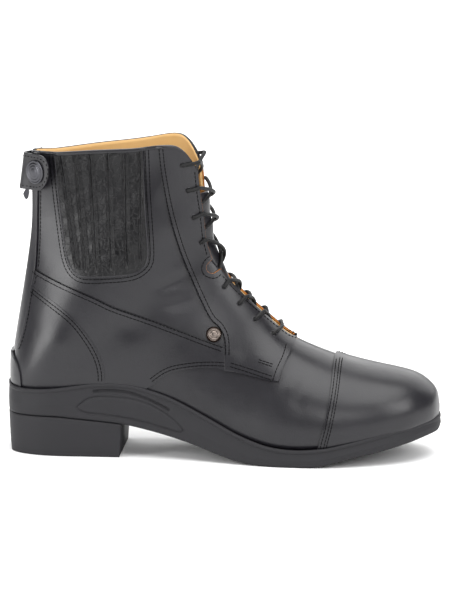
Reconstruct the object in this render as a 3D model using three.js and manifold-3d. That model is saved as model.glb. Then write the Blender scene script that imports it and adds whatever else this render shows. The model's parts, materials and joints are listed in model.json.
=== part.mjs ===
// A lace-up riding boot for the right foot, black leather on a moulded rubber sole, with a zip up the back.
// Millimetres, +Z up. The origin is on the floor, under the middle of the heel. +X runs to the toe, and the outer
// (lateral) side of the foot is at -Y, the inner (medial) side at +Y.
import * as THREE from "three";
import { mergeVertices } from "three/addons/utils/BufferGeometryUtils.js";
import Module from "manifold-3d";

const wasm = await Module();
wasm.setup();

// Driving dimensions of the whole boot
const SOLE_LENGTH = 290; // back of the heel to the tip of the sole
const HEEL_CENTRE = 38.5; // back of the sole to the middle of the heel block
const SHAFT_HEIGHT = 203; // forefoot seat to the top of the collar at the front
const HEEL_SEAT = 34; // floor to the seat under the heel
const SOLE_THICKNESS = 8; // floor to the seat under the ball
const TOE_SPRING = 16; // rise of the seat from the ball to the toe
const SOLE_WIDTH = 101; // sole at the ball
const CUP_WALL = 3; // rubber of the sole's wall beside the upper
const BALL_WIDTH = SOLE_WIDTH - 2 * CUP_WALL; // upper at the ball, 95
const HEEL_WIDTH = (64 / 101) * SOLE_WIDTH - 2 * CUP_WALL; // upper at the heel, 58
const COLLAR_WIDTH = 45; // shaft at the collar, pinched together at the back
const BACK_RADIUS = 4.5; // fold of the leather round the back of the shaft

// Leather, lining and gaps
const WALL = 2.2; // vamp leather and its lining together
const CLEARANCE = 0.3; // gap between pieces that lie on each other
const PANEL = 1.1; // leather of the side panels and counters
const FACING = 1.5; // leather of the lace facings, folded at the edge
const CAP = 1.3; // leather of the toe cap
const STRIP = 1.2; // leather of the strips beside the zip
const GUSSET = 0.6; // leather of the elastic gusset between its pleats
const PLEAT_HEIGHT = 1.5; // how far the pleats of the gusset stand above the wall

// Lacing
const EYELETS = 8; // on each side
const EYELET_RADIUS = 1.5;
const LACE_RADIUS = 1.15;
const THROAT_HALF_GAP = 15; // half the gap between the facings at the shaft
const NOTCH_RADIUS = 5; // flex notch of the facings in front of the ankle

// Sole
const HEEL_TAPER = 3.2; // how far the heel block draws in from its top to the floor
const HEEL_LENGTH = 79.5; // back of the sole to the breast of the heel block
const RIM_SIDE = 17.5; // highest rise of the sole's side wall over its seat, at the waist
const GROOVE_DEPTH = 1; // lines and outline of the panel on the sole's side
const GROOVE_WIDTH = 1.2;
const TREAD_DEPTH = 1.4;
const TREAD_WIDTH = 2.6;
const TREAD_PITCH = 9;
const WAIST_RIB = 0.8; // radius of the ribs under the waist
const INSOLE = 2.4;

// Back zip, its pull, the snap tab over it and the spur rest under it
const ZIP_HALF_SLOT = 3.2;
const ZIP_CHAIN = 2.3; // thickness of the closed row of teeth
const ZIP_TAPE = 0.8;
const SLIDER_LENGTH = 11;
const SLIDER_WIDTH = 5.6;
const SLIDER_THICKNESS = 1.4;
const PULL_LENGTH = 12.2; // from its bar to its tip
const PULL_WIDTH = 4.2;
const PULL_BAR = 0.5; // radius of the pull's bar and of the slider's bridge
const TAB_HEIGHT = 24.4;
const TAB_THICKNESS = 1.6;
const SNAP_RADIUS = 8;
const SNAP_THICKNESS = 2.2;
const SPUR_REST = 2.4;
const RIVET_RADIUS = 5.2;
const RIVET_THICKNESS = 1.6;
const TONGUE = 2.2;
const TONGUE_HALF_WIDTH = 23;

// Fineness of the faceted forms
const LAST_ROWS = 20;
const LAST_SIDES = 22;
const SOLE_ROWS = 22;
const FAR = 200; // reach of a cutter past the boot

// Stations of the last from the toe to above the collar. Each lies in a plane through a point of the front ridge and
// one of the bottom or back line. frontX and backX are shares of the sole's length from its back, frontZ a share of
// the shaft's height over the forefoot seat, and backZ one over the seat line. ball, heel and collar say how much of
// each width counts. widest is where along the plane the section is widest, from the back. The powers shape the
// section's front and back halves: 1 is a straight wedge, 2 an ellipse, more is boxier.
const STATIONS = [
  // frontX frontZ  backX  backZ  ball  heel  collar widest front back
  [0.9914, 0.125, 0.9914, 0.03, 0, 0, 0, 0.4, 2, 2],
  [0.9878, 0.155, 0.986, 0.006, 0.21, 0, 0, 0.38, 2.1, 2.4],
  [0.98, 0.18, 0.973, 0, 0.39, 0, 0, 0.34, 2.1, 3.6],
  [0.958, 0.2085, 0.947, 0, 0.57, 0, 0, 0.3, 2.1, 5],
  [0.92, 0.2315, 0.91, 0, 0.735, 0, 0, 0.28, 2.1, 6],
  [0.848, 0.254, 0.842, 0, 0.895, 0, 0, 0.26, 2.05, 7],
  [0.762, 0.288, 0.762, 0, 0.98, 0, 0, 0.24, 1.95, 7],
  [0.684, 0.333, 0.692, 0, 0.985, 0, 0, 0.22, 1.85, 7],
  [0.64, 0.37, 0.628, 0, 0.945, 0, 0, 0.22, 1.8, 7],
  [0.607, 0.414, 0.548, 0, 0.82, 0.01, 0, 0.23, 1.8, 6.5],
  [0.577, 0.46, 0.468, 0, 0.62, 0.16, 0, 0.25, 1.8, 6],
  [0.549, 0.508, 0.375, 0, 0.38, 0.43, 0, 0.27, 1.85, 5],
  [0.527, 0.554, 0.265, 0, 0.13, 0.81, 0, 0.29, 1.9, 4.5],
  [0.512, 0.598, 0.148, 0, 0.03, 1, 0, 0.3, 1.95, 3.6],
  [0.5, 0.642, 0.042, 0.012, 0, 1.05, 0.01, 0.31, 2, 3],
  [0.492, 0.689, 0.014, 0.088, 0, 1, 0.08, 0.35, 2, 2.7],
  [0.487, 0.739, 0.022, 0.205, 0, 0.83, 0.25, 0.43, 2, 2.25],
  [0.482, 0.793, 0.035, 0.33, 0, 0.6, 0.48, 0.52, 2, 1.85],
  [0.476, 0.848, 0.0475, 0.462, 0, 0.36, 0.68, 0.62, 2, 1.55],
  [0.469, 0.898, 0.0565, 0.593, 0, 0.15, 0.87, 0.71, 2, 1.35],
  [0.461, 0.947, 0.057, 0.717, 0, 0.04, 0.96, 0.78, 2, 1.2],
  [0.453, 0.999, 0.0575, 0.832, 0, 0, 1, 0.8, 2, 1.15],
  [0.446, 1.052, 0.058, 0.89, 0, 0, 1, 0.8, 2, 1.15],
];

// Seat line of the sole from the heel to the toe: shares of the length, of the heel's rise and of the toe spring
const SEAT_LINE = [
  // x    heel  toe
  [0, 1, 0],
  [0.12, 1, 0],
  [0.22, 1, 0],
  [0.3, 0.95, 0],
  [0.38, 0.75, 0],
  [0.46, 0.44, 0],
  [0.54, 0.15, 0],
  [0.61, 0.02, 0],
  [0.68, 0, 0],
  [0.75, 0, 0.06],
  [0.83, 0, 0.32],
  [0.91, 0, 0.66],
  [1, 0, 1.02],
];

// Outline of the sole from the toe to the back: x is a share of the length, half one of half the width at the ball,
// swing the middle line's place to the inner side as a share of the same, and rim a share of the side wall's rise
const OUTLINE = [
  // x    half  swing rim
  [1, 0, 0.075, 0.17],
  [0.993, 0.225, 0.075, 0.19],
  [0.975, 0.41, 0.07, 0.23],
  [0.943, 0.595, 0.058, 0.27],
  [0.895, 0.77, 0.04, 0.31],
  [0.83, 0.905, 0.012, 0.32],
  [0.76, 0.968, -0.015, 0.27],
  [0.69, 0.97, -0.03, 0.22],
  [0.62, 0.925, -0.045, 0.28],
  [0.55, 0.84, -0.05, 0.47],
  [0.48, 0.75, -0.05, 0.69],
  [0.41, 0.678, -0.04, 0.86],
  [0.34, 0.642, -0.025, 0.96],
  [0.27, 0.637, -0.01, 1],
  [0.2, 0.65, 0, 0.93],
  [0.135, 0.655, 0, 0.76],
  [0.08, 0.615, 0, 0.66],
  [0.035, 0.49, 0, 0.64],
  [0.01, 0.295, 0, 0.67],
  [0, 0, 0, 0.7],
];

// Underside of the sole: x is a share of the length, drop a share of the heel seat below it at the heel and waist,
// and lift a share of the toe spring over the floor
const UNDERSIDE = [
  // x     drop  lift
  [0, 0.79, 0],
  [0.12, 0.81, 0],
  [0.27, 0.69, 0],
  [0.33, 0.585, 0],
  [0.39, 0.46, 0],
  [0.45, 0.31, 0],
  [0.51, 0.13, 0],
  [0.56, 0.03, 0],
  [0.6, 0, 0],
  [0.65, 0, 0],
  [0.72, 0, 0],
  [0.76, 0, 0.14],
  [0.8, 0, 0.36],
  [0.9, 0, 0.72],
  [1, 0, 1.15],
];

const BLACK_LEATHER = { color: 0x232225, roughness: 0.38, metalness: 0 };
const PLEATED_LEATHER = { color: 0x1e1d20, roughness: 0.45, metalness: 0 };
const TAN_LEATHER = { color: 0xc58f52, roughness: 0.6, metalness: 0 };
const RUBBER = { color: 0x2b2b2c, roughness: 0.75, metalness: 0 };
const BLACK_METAL = { color: 0x1c1c1e, roughness: 0.35, metalness: 0.6 };
const OLD_SILVER = { color: 0x8d8780, roughness: 0.35, metalness: 1 };
const CORD = { color: 0x1b1b1c, roughness: 0.7, metalness: 0 };

const along = (share) => share * SOLE_LENGTH - HEEL_CENTRE;

// Natural cubic spline through evenly spaced values, as a function of the place from 0 to values.length - 1
function spline(values) {
  const n = values.length;
  const pull = new Array(n).fill(0);
  const bend = new Array(n).fill(0);
  for (let i = 1; i < n - 1; i++) {
    const p = 0.5 * pull[i - 1] + 2;
    pull[i] = -0.5 / p;
    bend[i] = (3 * (values[i + 1] - 2 * values[i] + values[i - 1]) - 0.5 * bend[i - 1]) / p;
  }
  bend[n - 1] = 0;
  for (let i = n - 2; i >= 0; i--) bend[i] = pull[i] * bend[i + 1] + bend[i];
  return (place) => {
    const i = Math.min(n - 2, Math.max(0, Math.floor(place)));
    const b = place - i;
    const a = 1 - b;
    return a * values[i] + b * values[i + 1] + ((a ** 3 - a) * bend[i] + (b ** 3 - b) * bend[i + 1]) / 6;
  };
}

// Straight lines between the rows of a table whose first column rises, rounded by smoothing over a short stretch
function lineOf(table, value) {
  const at = (share) => {
    const s = Math.min(1, Math.max(0, share));
    let i = 0;
    while (i < table.length - 2 && table[i + 1][0] < s) i++;
    const [from, to] = [table[i], table[i + 1]];
    return THREE.MathUtils.lerp(value(from), value(to), (s - from[0]) / (to[0] - from[0]));
  };
  const reach = 0.02;
  return (x) => {
    const share = (x + HEEL_CENTRE) / SOLE_LENGTH;
    return (at(share - reach) + 2 * at(share) + at(share + reach)) / 4;
  };
}

const seat = lineOf(
  SEAT_LINE,
  ([, heel, toe]) => SOLE_THICKNESS + heel * (HEEL_SEAT - SOLE_THICKNESS) + toe * TOE_SPRING,
);
const underside = lineOf(UNDERSIDE, ([, drop, lift]) => drop * HEEL_SEAT + lift * TOE_SPRING);

const swing = lineOf([...OUTLINE].reverse(), (row) => 0.5 * row[2] * SOLE_WIDTH);

// A closed solid from a geometry whose faces point out
function toSolid(geometry) {
  const bare = geometry.index ? geometry.clone() : geometry;
  bare.deleteAttribute("normal");
  bare.deleteAttribute("uv");
  const merged = mergeVertices(bare, 1e-4);
  const kept = [];
  const index = merged.index.array;
  for (let i = 0; i < index.length; i += 3) {
    const [a, b, c] = [index[i], index[i + 1], index[i + 2]];
    if (a !== b && b !== c && c !== a) kept.push(a, b, c);
  }
  return new wasm.Manifold(
    new wasm.Mesh({
      numProp: 3,
      vertProperties: new Float32Array(merged.attributes.position.array),
      triVerts: new Uint32Array(kept),
    }),
  );
}

function toGeometry(solid) {
  const mesh = solid.getMesh();
  const positions = new Float32Array(mesh.numVert * 3);
  for (let i = 0; i < mesh.numVert; i++)
    positions.set(mesh.vertProperties.subarray(i * mesh.numProp, i * mesh.numProp + 3), i * 3);
  return new THREE.BufferGeometry()
    .setAttribute("position", new THREE.BufferAttribute(positions, 3))
    .setIndex(new THREE.BufferAttribute(new Uint32Array(mesh.triVerts), 1));
}

// Skin over rings of points that all turn the same way round, with both ends closed
function skin(rings) {
  const sides = rings[0].length;
  const positions = [];
  const faces = [];
  for (const ring of rings) for (const p of ring) positions.push(p.x, p.y, p.z);
  for (let i = 0; i + 1 < rings.length; i++) {
    for (let j = 0; j < sides; j++) {
      const k = (j + 1) % sides;
      const [a, b, c, d] = [i * sides + j, i * sides + k, (i + 1) * sides + k, (i + 1) * sides + j];
      faces.push(a, b, c, a, c, d);
    }
  }
  const last = (rings.length - 1) * sides;
  for (let j = 1; j + 1 < sides; j++) faces.push(0, j + 1, j, last, last + j, last + j + 1);
  const geometry = new THREE.BufferGeometry()
    .setAttribute("position", new THREE.BufferAttribute(new Float32Array(positions), 3))
    .setIndex(faces);
  return toSolid(geometry);
}

// Prism of an outline drawn in side view, x along the boot and y up, from one Y to another
function sidePrism(points, fromY, toY) {
  const geometry = new THREE.ExtrudeGeometry(new THREE.Shape(points), {
    depth: toY - fromY,
    bevelEnabled: false,
  });
  return toSolid(geometry.rotateX(Math.PI / 2).translate(0, toY, 0));
}

const V2 = (x, y) => new THREE.Vector2(x, y);
const V3 = (x, y, z) => new THREE.Vector3(x, y, z);
const bend = (points, steps) => new THREE.SplineCurve(points).getPoints(steps);

// The last: rings of points at the stations, evenly spaced round each section from the back over the outer side
function lastRings() {
  const column = STATIONS[0].map((_, c) => spline(STATIONS.map((row) => row[c])));
  const rings = [];
  for (let i = 0; i <= LAST_ROWS; i++) {
    const place = (i / LAST_ROWS) * (STATIONS.length - 1);
    const [frontX, frontZ, backX, backZ, ball, heel, collar, widest, frontPower, backPower] = column.map((f) =>
      f(place),
    );
    const front = V2(along(frontX), SOLE_THICKNESS + frontZ * SHAFT_HEIGHT);
    const back = V2(along(backX), seat(along(backX)) + Math.max(0, backZ) * SHAFT_HEIGHT);
    const half = Math.max(0, 0.5 * (ball * BALL_WIDTH + heel * HEEL_WIDTH + collar * COLLAR_WIDTH));
    const ring = section(front, back, i ? half : 0, widest, frontPower, backPower);
    const low = (p) => THREE.MathUtils.clamp(1.6 - (2 * (p.z - seat(p.x))) / SHAFT_HEIGHT, 0, 1);
    for (const p of ring) p.y += swing(p.x) * low(p);
    rings.push(ring);
  }
  return rings;
}

// One section in the plane through front and back: a fine superellipse core, rounded by a fold radius
function section(front, back, half, widest, frontPower, backPower) {
  const axis = front.clone().sub(back);
  const height = axis.length();
  axis.normalize();
  const fold = Math.min(BACK_RADIUS, 0.4 * half, 0.4 * height);
  const wide = half - fold;
  const [low, high] = [widest * height - fold, (1 - widest) * height - fold];
  const steps = 180;
  const core = [];
  for (let j = 0; j <= steps; j++) {
    const angle = (Math.PI * j) / steps;
    const [c, s] = [Math.cos(angle), Math.sin(angle)];
    const [reach, power] = c > 0 ? [low, backPower] : [high, frontPower];
    core.push(V2(-Math.sign(c) * reach * Math.abs(c) ** (2 / power), wide * Math.max(0, s) ** (2 / power)));
  }
  const rounded = core.map((p, j) => {
    const ahead = core[Math.min(steps, j + 1)];
    const behind = core[Math.max(0, j - 1)];
    const tangent = ahead.clone().sub(behind).normalize();
    const out = j === 0 ? V2(-1, 0) : j === steps ? V2(1, 0) : V2(-tangent.y, tangent.x);
    return p.clone().addScaledVector(out, fold);
  });
  const lengths = rounded.map((p, j) => (j ? p.distanceTo(rounded[j - 1]) : 0));
  for (let j = 1; j <= steps; j++) lengths[j] += lengths[j - 1];
  const halfSides = LAST_SIDES / 2;
  const outer = [];
  for (let k = 0, j = 0; k <= halfSides; k++) {
    const goal = (lengths[steps] * k) / halfSides;
    while (j < steps - 1 && lengths[j + 1] < goal) j++;
    const span = lengths[j + 1] - lengths[j];
    const share = span > 0 ? Math.min(1, (goal - lengths[j]) / span) : 0;
    const p = rounded[j].clone().lerp(rounded[j + 1], share);
    if (k === 0 || k === halfSides) p.y = 0;
    outer.push(p);
  }
  const place = (p, side) => {
    const onAxis = back.clone().addScaledVector(axis, widest * height + p.x);
    return V3(onAxis.x, side * p.y, onAxis.y);
  };
  const ring = outer.map((p) => place(p, -1));
  for (let k = halfSides - 1; k > 0; k--) ring.push(place(outer[k], 1));
  return ring;
}

const RINGS = lastRings();

// The last grown outwards by an offset, or shrunk where the offset is negative
const grownLasts = new Map();
function last(offset) {
  if (grownLasts.has(offset)) return grownLasts.get(offset);
  const solid = skin(RINGS);
  const geometry = toGeometry(solid);
  geometry.computeVertexNormals();
  const [position, normal] = [geometry.attributes.position, geometry.attributes.normal];
  for (let i = 0; i < position.count; i++)
    position.setXYZ(
      i,
      position.getX(i) + offset * normal.getX(i),
      position.getY(i) + offset * normal.getY(i),
      position.getZ(i) + offset * normal.getZ(i),
    );
  const grown = toSolid(geometry);
  grownLasts.set(offset, grown);
  return grown;
}

const layer = (from, to) => last(to).subtract(last(from));

// Everything below or above a line drawn in side view
const below = (line) => sidePrism([...line, V2(FAR * 2, line.at(-1).y), V2(FAR * 2, -FAR), V2(-FAR, -FAR)], -FAR, FAR);
const seatCut = (rise) => {
  const line = [V2(-FAR, seat(-HEEL_CENTRE) + rise)];
  for (let i = 0; i <= 24; i++) line.push(V2(along(i / 24), seat(along(i / 24)) + rise));
  return below(line);
};

// Prism of an outline drawn in front view, from one X to another
function frontPrism(points, fromX, toX) {
  const geometry = new THREE.ExtrudeGeometry(new THREE.Shape(points), { depth: toX - fromX, bevelEnabled: false });
  return toSolid(geometry.rotateX(Math.PI / 2).rotateZ(Math.PI / 2).translate(fromX, 0, 0));
}

// Where the last's surface is met on its outer (-1) or inner (1) side, in side view, or on its front, in front view
const form = toGeometry(last(0));
form.computeVertexNormals();
function meet(first, second, axes, better) {
  const [index, position, normal] = [form.index.array, form.attributes.position, form.attributes.normal];
  let best = null;
  const corner = (i) => [position.getX(i), position.getY(i), position.getZ(i)];
  for (let i = 0; i < index.length; i += 3) {
    const ids = [index[i], index[i + 1], index[i + 2]];
    const [a, b, c] = ids.map(corner);
    const [u, v] = axes;
    const area = (b[u] - a[u]) * (c[v] - a[v]) - (c[u] - a[u]) * (b[v] - a[v]);
    if (Math.abs(area) < 1e-9) continue;
    const share1 = ((first - a[u]) * (c[v] - a[v]) - (c[u] - a[u]) * (second - a[v])) / area;
    const share2 = ((b[u] - a[u]) * (second - a[v]) - (first - a[u]) * (b[v] - a[v])) / area;
    if (share1 < -1e-6 || share2 < -1e-6 || share1 + share2 > 1 + 1e-6) continue;
    const shares = [1 - share1 - share2, share1, share2];
    const point = V3(...[0, 1, 2].map((k) => shares[0] * a[k] + shares[1] * b[k] + shares[2] * c[k]));
    if (best && !better(point, best.point)) continue;
    const out = V3(0, 0, 0);
    ids.forEach((id, k) => out.addScaledVector(V3().fromBufferAttribute(normal, id), shares[k]));
    best = { point, out: out.normalize() };
  }
  return best;
}
const onSide = (x, z, side) => meet(x, z, [0, 2], (p, q) => side * p.y > side * q.y);
const onFront = (y, z) => meet(y, z, [1, 2], (p, q) => p.x > q.x);
const raised = ({ point, out }, height) => point.clone().addScaledVector(out, height);

// Round solid turned about a line: profile holds a radius and a height in each row
function turned(profile, at, direction, sides) {
  const lathe = new THREE.LatheGeometry(profile.map(([r, h]) => V2(r, h)), sides);
  const turn = new THREE.Quaternion().setFromUnitVectors(V3(0, 1, 0), direction.clone().normalize());
  return toSolid(lathe.applyQuaternion(turn).translate(at.x, at.y, at.z));
}
const pin = (at, direction, radius, from, to, sides = 10) =>
  turned([[0, from], [radius, from], [radius, to], [0, to]], at, direction, sides);

// Round cord along a curve
function cord(points, radius, steps, sides = 5) {
  const ring = [];
  for (let i = 0; i < sides; i++) {
    const angle = (2 * Math.PI * i) / sides;
    ring.push(V2(radius * Math.cos(angle), radius * Math.sin(angle)));
  }
  const extrudePath = new THREE.CatmullRomCurve3(points, false, "centripetal");
  const geometry = new THREE.ExtrudeGeometry(new THREE.Shape(ring), { steps, bevelEnabled: false, extrudePath });
  return toSolid(geometry);
}

// Solid between levels that follow the sole's outline: each level gives how far it is drawn in and its height
function ladder(levels, rows) {
  const column = OUTLINE[0].map((_, c) => spline(OUTLINE.map((row) => row[c])));
  const stations = [];
  for (let i = 0; i <= rows; i++) {
    const place = (i / rows) * (OUTLINE.length - 1);
    const [share, half, middle, rim] = column.map((f) => f(place));
    stations.push({ x: along(share), half: 0.5 * half * SOLE_WIDTH, middle: 0.5 * middle * SOLE_WIDTH, rim });
  }
  const [toe, heel] = [stations[0], stations[rows]];
  const positions = [];
  for (const [inset, height] of levels) {
    const shift = (s) => V2(THREE.MathUtils.clamp(s.x, heel.x + inset, toe.x - inset), Math.max(0, s.half - inset));
    const row = stations.map((s, i) => {
      const end = i === 0 || i === rows;
      const at = shift(s);
      const deep = end ? 0 : inset > 0 ? Math.min(at.y, s.half * (1 - inset / (0.5 * SOLE_WIDTH))) : at.y;
      return { x: at.x, y: end ? 0 : Math.max(0.02, deep), middle: s.middle, z: height(s) };
    });
    for (const r of row) positions.push(r.x, r.middle - r.y, r.z);
    for (const r of row.slice(1, -1).reverse()) positions.push(r.x, r.middle + r.y, r.z);
  }
  const ring = 2 * rows;
  const faces = [];
  for (let level = 0; level + 1 < levels.length; level++) {
    for (let j = 0; j < ring; j++) {
      const [a, b] = [level * ring + j, level * ring + ((j + 1) % ring)];
      faces.push(a, a + ring, b, b, a + ring, b + ring);
    }
  }
  const top = (levels.length - 1) * ring;
  for (let i = 0; i < rows; i++) {
    const [a, b] = [i, i + 1];
    const [c, d] = [(ring - i) % ring, ring - i - 1];
    for (const [base, flip] of [[0, false], [top, true]]) {
      const fan = [base + a, base + b, base + d, base + c];
      if (flip) fan.reverse();
      faces.push(fan[0], fan[1], fan[2], fan[0], fan[2], fan[3]);
    }
  }
  const geometry = new THREE.BufferGeometry()
    .setAttribute("position", new THREE.BufferAttribute(new Float32Array(positions), 3))
    .setIndex(faces);
  return toSolid(geometry);
}
const rimHeight = (s) => seat(s.x) + s.rim * RIM_SIDE;
const blank = ladder(
  [
    [2.4, (s) => underside(s.x)],
    [0.5, (s) => underside(s.x) + 1.8],
    [0, (s) => 0.6 * underside(s.x) + 0.4 * rimHeight(s)],
    [0.9, (s) => rimHeight(s) - 2.9],
    [0.2, (s) => rimHeight(s) - 2],
    [0.5, (s) => rimHeight(s)],
  ],
  SOLE_ROWS,
);

// Places on the pattern, drawn for a boot 290 long with a shaft of 203, follow the boot's own length and height
const fitX = (x) => along((x + 38.5) / 290);
const fitZ = (z) => SOLE_THICKNESS + ((z - 8) / 203) * SHAFT_HEIGHT;
const P = (x, z) => V2(fitX(x), fitZ(z));

// Lines of the pattern in side view, x and z
const COLLAR_LINE = [
  [-60, 201.6], [-20.1, 202.2], [-3.4, 202.4], [20.6, 205.1], [46.6, 207.6], [62, 210], [73, 210.9], [79.5, 209.2],
  [84, 205], [88, 198.8], [91.5, 192], [130, 188],
];
const FACING_LINE = [
  [65, 222], [65.5, 209.6], [67.3, 192.2], [71.3, 168.8], [76.3, 149.4], [81.3, 134.1], [88.5, 116.5],
  [97.8, 97.2], [103.2, 91.2], [107.2, 86.3], [109.3, 80.9], [109.8, 75], [109.8, 60],
];
const QUARTER_FRONT = [
  [109.8, 60], [126, 58.4], [140.6, 54.3], [143.6, 54.2], [146.3, 63.7], [149, 69.9], [150, 77.5], [152, 86],
];
const QUARTER_TOP = [[-40, 131], [-19.2, 123.9], [-11.6, 120.1], [18.2, 109.9], [34.5, 102.8], [60.2, 93.8],
  [92.2, 82], [115, 73.8]];
const QUARTER_LOW = [[115, 62.6], [97.2, 63.4], [77.7, 60.5], [67.6, 55.9], [62.1, 50.8], [54, 43], [50, 30]];
const COUNTER_LINE = [[-40, 121.5], [-19.7, 111.8], [-8, 105.8], [3.4, 98.8], [15.6, 87.2], [24.9, 73.2],
  [29.1, 60.8], [29.6, 50], [29.6, 20]];
const STRIP_LINE = [[-15.6, 225], [-17.1, 174], [-17.4, 144.5], [-18.7, 121.1], [-20.8, 111], [-23.8, 90.3],
  [-27.5, 74.6], [-31.5, 67.2]];
const SPUR_LINE = [[-60, 66.5], [-35.1, 66.6], [-31.7, 64.2], [-28.5, 59.7], [-26.6, 54], [-25.9, 46.1], [-25.9, 20],
  [-60, 20]];
const CAP_LINE = [[179.2, 100], [180.7, 66.7], [180.5, 49.5], [177.3, 29.3], [173.1, 13.2], [170, 0]];
const GUSSET_LINE = [[-6.5, 215], [-5.9, 201.8], [-3.1, 174.9], [1.1, 145.9], [4.5, 130.9], [9.6, 123.9],
  [17.7, 121.9], [31.8, 122.9], [47.5, 124.9], [55.4, 129.5], [58.2, 137.3], [57.1, 158.7], [55.3, 182.9],
  [53.6, 215]];
const PLEAT_TOPS = [-3.4, 7.6, 18.1, 31, 42.5, 53.6]; // x of the valleys between the pleats at the collar
const PLEAT_FEET = [11, 17.6, 24.8, 34.9, 45.4, 54.6]; // and at the foot of the gusset
const EYELET_PLACES = [[80.4, 197.8], [83.7, 180.5], [87.4, 162.2], [92.1, 145.1], [107.3, 114.6], [117.5, 103.2],
  [128.2, 92.7], [140.3, 83.2]];
const NOTCH_PLACE = [99.4, 127.7];
const RIVET_PLACE = [102.2, 84.7];
const SNAP_PLACE = [-18.7, -9.4, 189];
const TAB_PATH = [
  // x    y     low    high, the outer face of the snap tab from its sewn end round the back to its free end
  [-8.5, 10.2, 178.5, 199.5],
  [-14, 10, 177, 200.8],
  [-20, 9, 176.6, 200.6],
  [-25.4, 7, 176.3, 200.4],
  [-28.5, 4, 176.2, 200.4],
  [-29.1, 0.4, 176.2, 200.5],
  [-27.4, -2.7, 176.2, 200.6],
  [-22.8, -6, 176.2, 200.7],
  [-18.7, -9.4, 176.3, 200.7],
  [-15.2, -12.3, 177.4, 200.6],
  [-12.3, -14.5, 180.4, 199],
  [-10.3, -15.4, 184.6, 196.6],
  [-9.3, -15.7, 188, 193.6],
];

const plan = (rows) => rows.map(([x, z]) => P(x, z));
const solePlan = (rows) => rows.map(([x, z]) => V2(fitX(x), (z / 34) * HEEL_SEAT));
const smooth = (rows, steps) => bend(plan(rows), steps);
const slid = (rows, dx, dz) => rows.map(([x, z]) => [x + dx, z + dz]);
const both = (points) => sidePrism(points, -FAR, FAR);
const oneSide = (points, side) => (side < 0 ? sidePrism(points, -FAR, -0.2) : sidePrism(points, 0.2, FAR));

const aboveCollar = both([...smooth(COLLAR_LINE, 16), P(130, 260), P(-60, 260)]);
const THROAT = [[4, 78], [6.4, 80.5], [11.5, 121], [14, 133], [15, 150], [15, 260]]; // half gap at each height
const throatEdge = THROAT.map(([y, z]) => V2((y / 15) * THROAT_HALF_GAP, fitZ(z)));
const throat = frontPrism([...throatEdge, ...throatEdge.map((p) => V2(-p.x, p.y)).reverse()], fitX(62), FAR);
const circle = ([x, z], radius, sides) => {
  const ring = [];
  for (let i = 0; i < sides; i++) {
    const angle = (2 * Math.PI * i) / sides;
    ring.push(V2(x + radius * Math.cos(angle), z + radius * Math.sin(angle)));
  }
  return ring;
};
const notch = both(circle([fitX(NOTCH_PLACE[0]), fitZ(NOTCH_PLACE[1])], NOTCH_RADIUS, 10));
const zipSlot = frontPrism(
  [V2(-ZIP_HALF_SLOT, fitZ(68)), V2(ZIP_HALF_SLOT, fitZ(68)), V2(ZIP_HALF_SLOT, fitZ(260)), V2(-ZIP_HALF_SLOT, fitZ(260))],
  -FAR,
  fitX(-14),
);
const eyelets = EYELET_PLACES.slice(0, EYELETS).map(([x, z]) => [-1, 1].map((side) => onSide(fitX(x), fitZ(z), side)));
const eyeletHoles = wasm.Manifold.union(
  eyelets.flat().map(({ point, out }) => pin(point, out, EYELET_RADIUS, -WALL - 1, FACING + 2, 6)),
);
const opened = (solid) => solid.subtract(aboveCollar).subtract(throat).subtract(notch).subtract(eyeletHoles);

// Panels that lie on the upper, each kept clear of the sole's rim and of the panel that covers it
const overSole = blank.translate(0, 0, CLEARANCE + 0.05).add(blank);
const panel = (thickness, region) => layer(CLEARANCE, CLEARANCE + thickness).intersect(region).subtract(overSole);
const behind = (rows, steps, gap) => {
  const line = smooth(slid(rows, gap, gap), steps);
  return both([...line, V2(-FAR, line.at(-1).y), V2(-FAR, line[0].y)]);
};
const ahead = (rows, steps) => {
  const line = smooth(rows, steps);
  return both([...line, V2(FAR * 2, line.at(-1).y), V2(FAR * 2, line[0].y)]);
};
const stripEnd = STRIP_LINE.at(-1);
const besideZip = (gap) => {
  const line = smooth(slid(STRIP_LINE, gap, 0), 9);
  const end = P(stripEnd[0] + gap, stripEnd[1] - gap);
  return both([...line, end, V2(-FAR, end.y), V2(-FAR, FAR * 2)]);
};
const stripRegion = besideZip(0);
const stripGap = besideZip(CLEARANCE);
const spurRegion = both(plan(SPUR_LINE));
const spurGap = both(plan(slid(SPUR_LINE, CLEARANCE, CLEARANCE)));
const counterRegion = behind(COUNTER_LINE, 12, 0);
const counterGap = behind(COUNTER_LINE, 12, CLEARANCE);
const facingRegion = both([
  ...smooth(FACING_LINE, 14), ...smooth(QUARTER_FRONT, 9).slice(1), P(170, 120), P(170, 230),
]);
const facingGap = facingRegion.translate(-CLEARANCE, 0, 0).add(facingRegion);
const quarterRegion = both([...smooth(QUARTER_TOP, 7), ...smooth(QUARTER_LOW, 8), P(-40, 30)]);
const capRegion = ahead(CAP_LINE, 7);

const rivetSpot = onSide(fitX(RIVET_PLACE[0]), fitZ(RIVET_PLACE[1]), -1);
const rivetHole = pin(rivetSpot.point, rivetSpot.out, RIVET_RADIUS + CLEARANCE, 0, 6, 16);
const half = (side) =>
  oneSide([V2(-FAR, -FAR), V2(FAR * 2, -FAR), V2(FAR * 2, FAR * 2), V2(-FAR, FAR * 2)], side);

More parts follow.
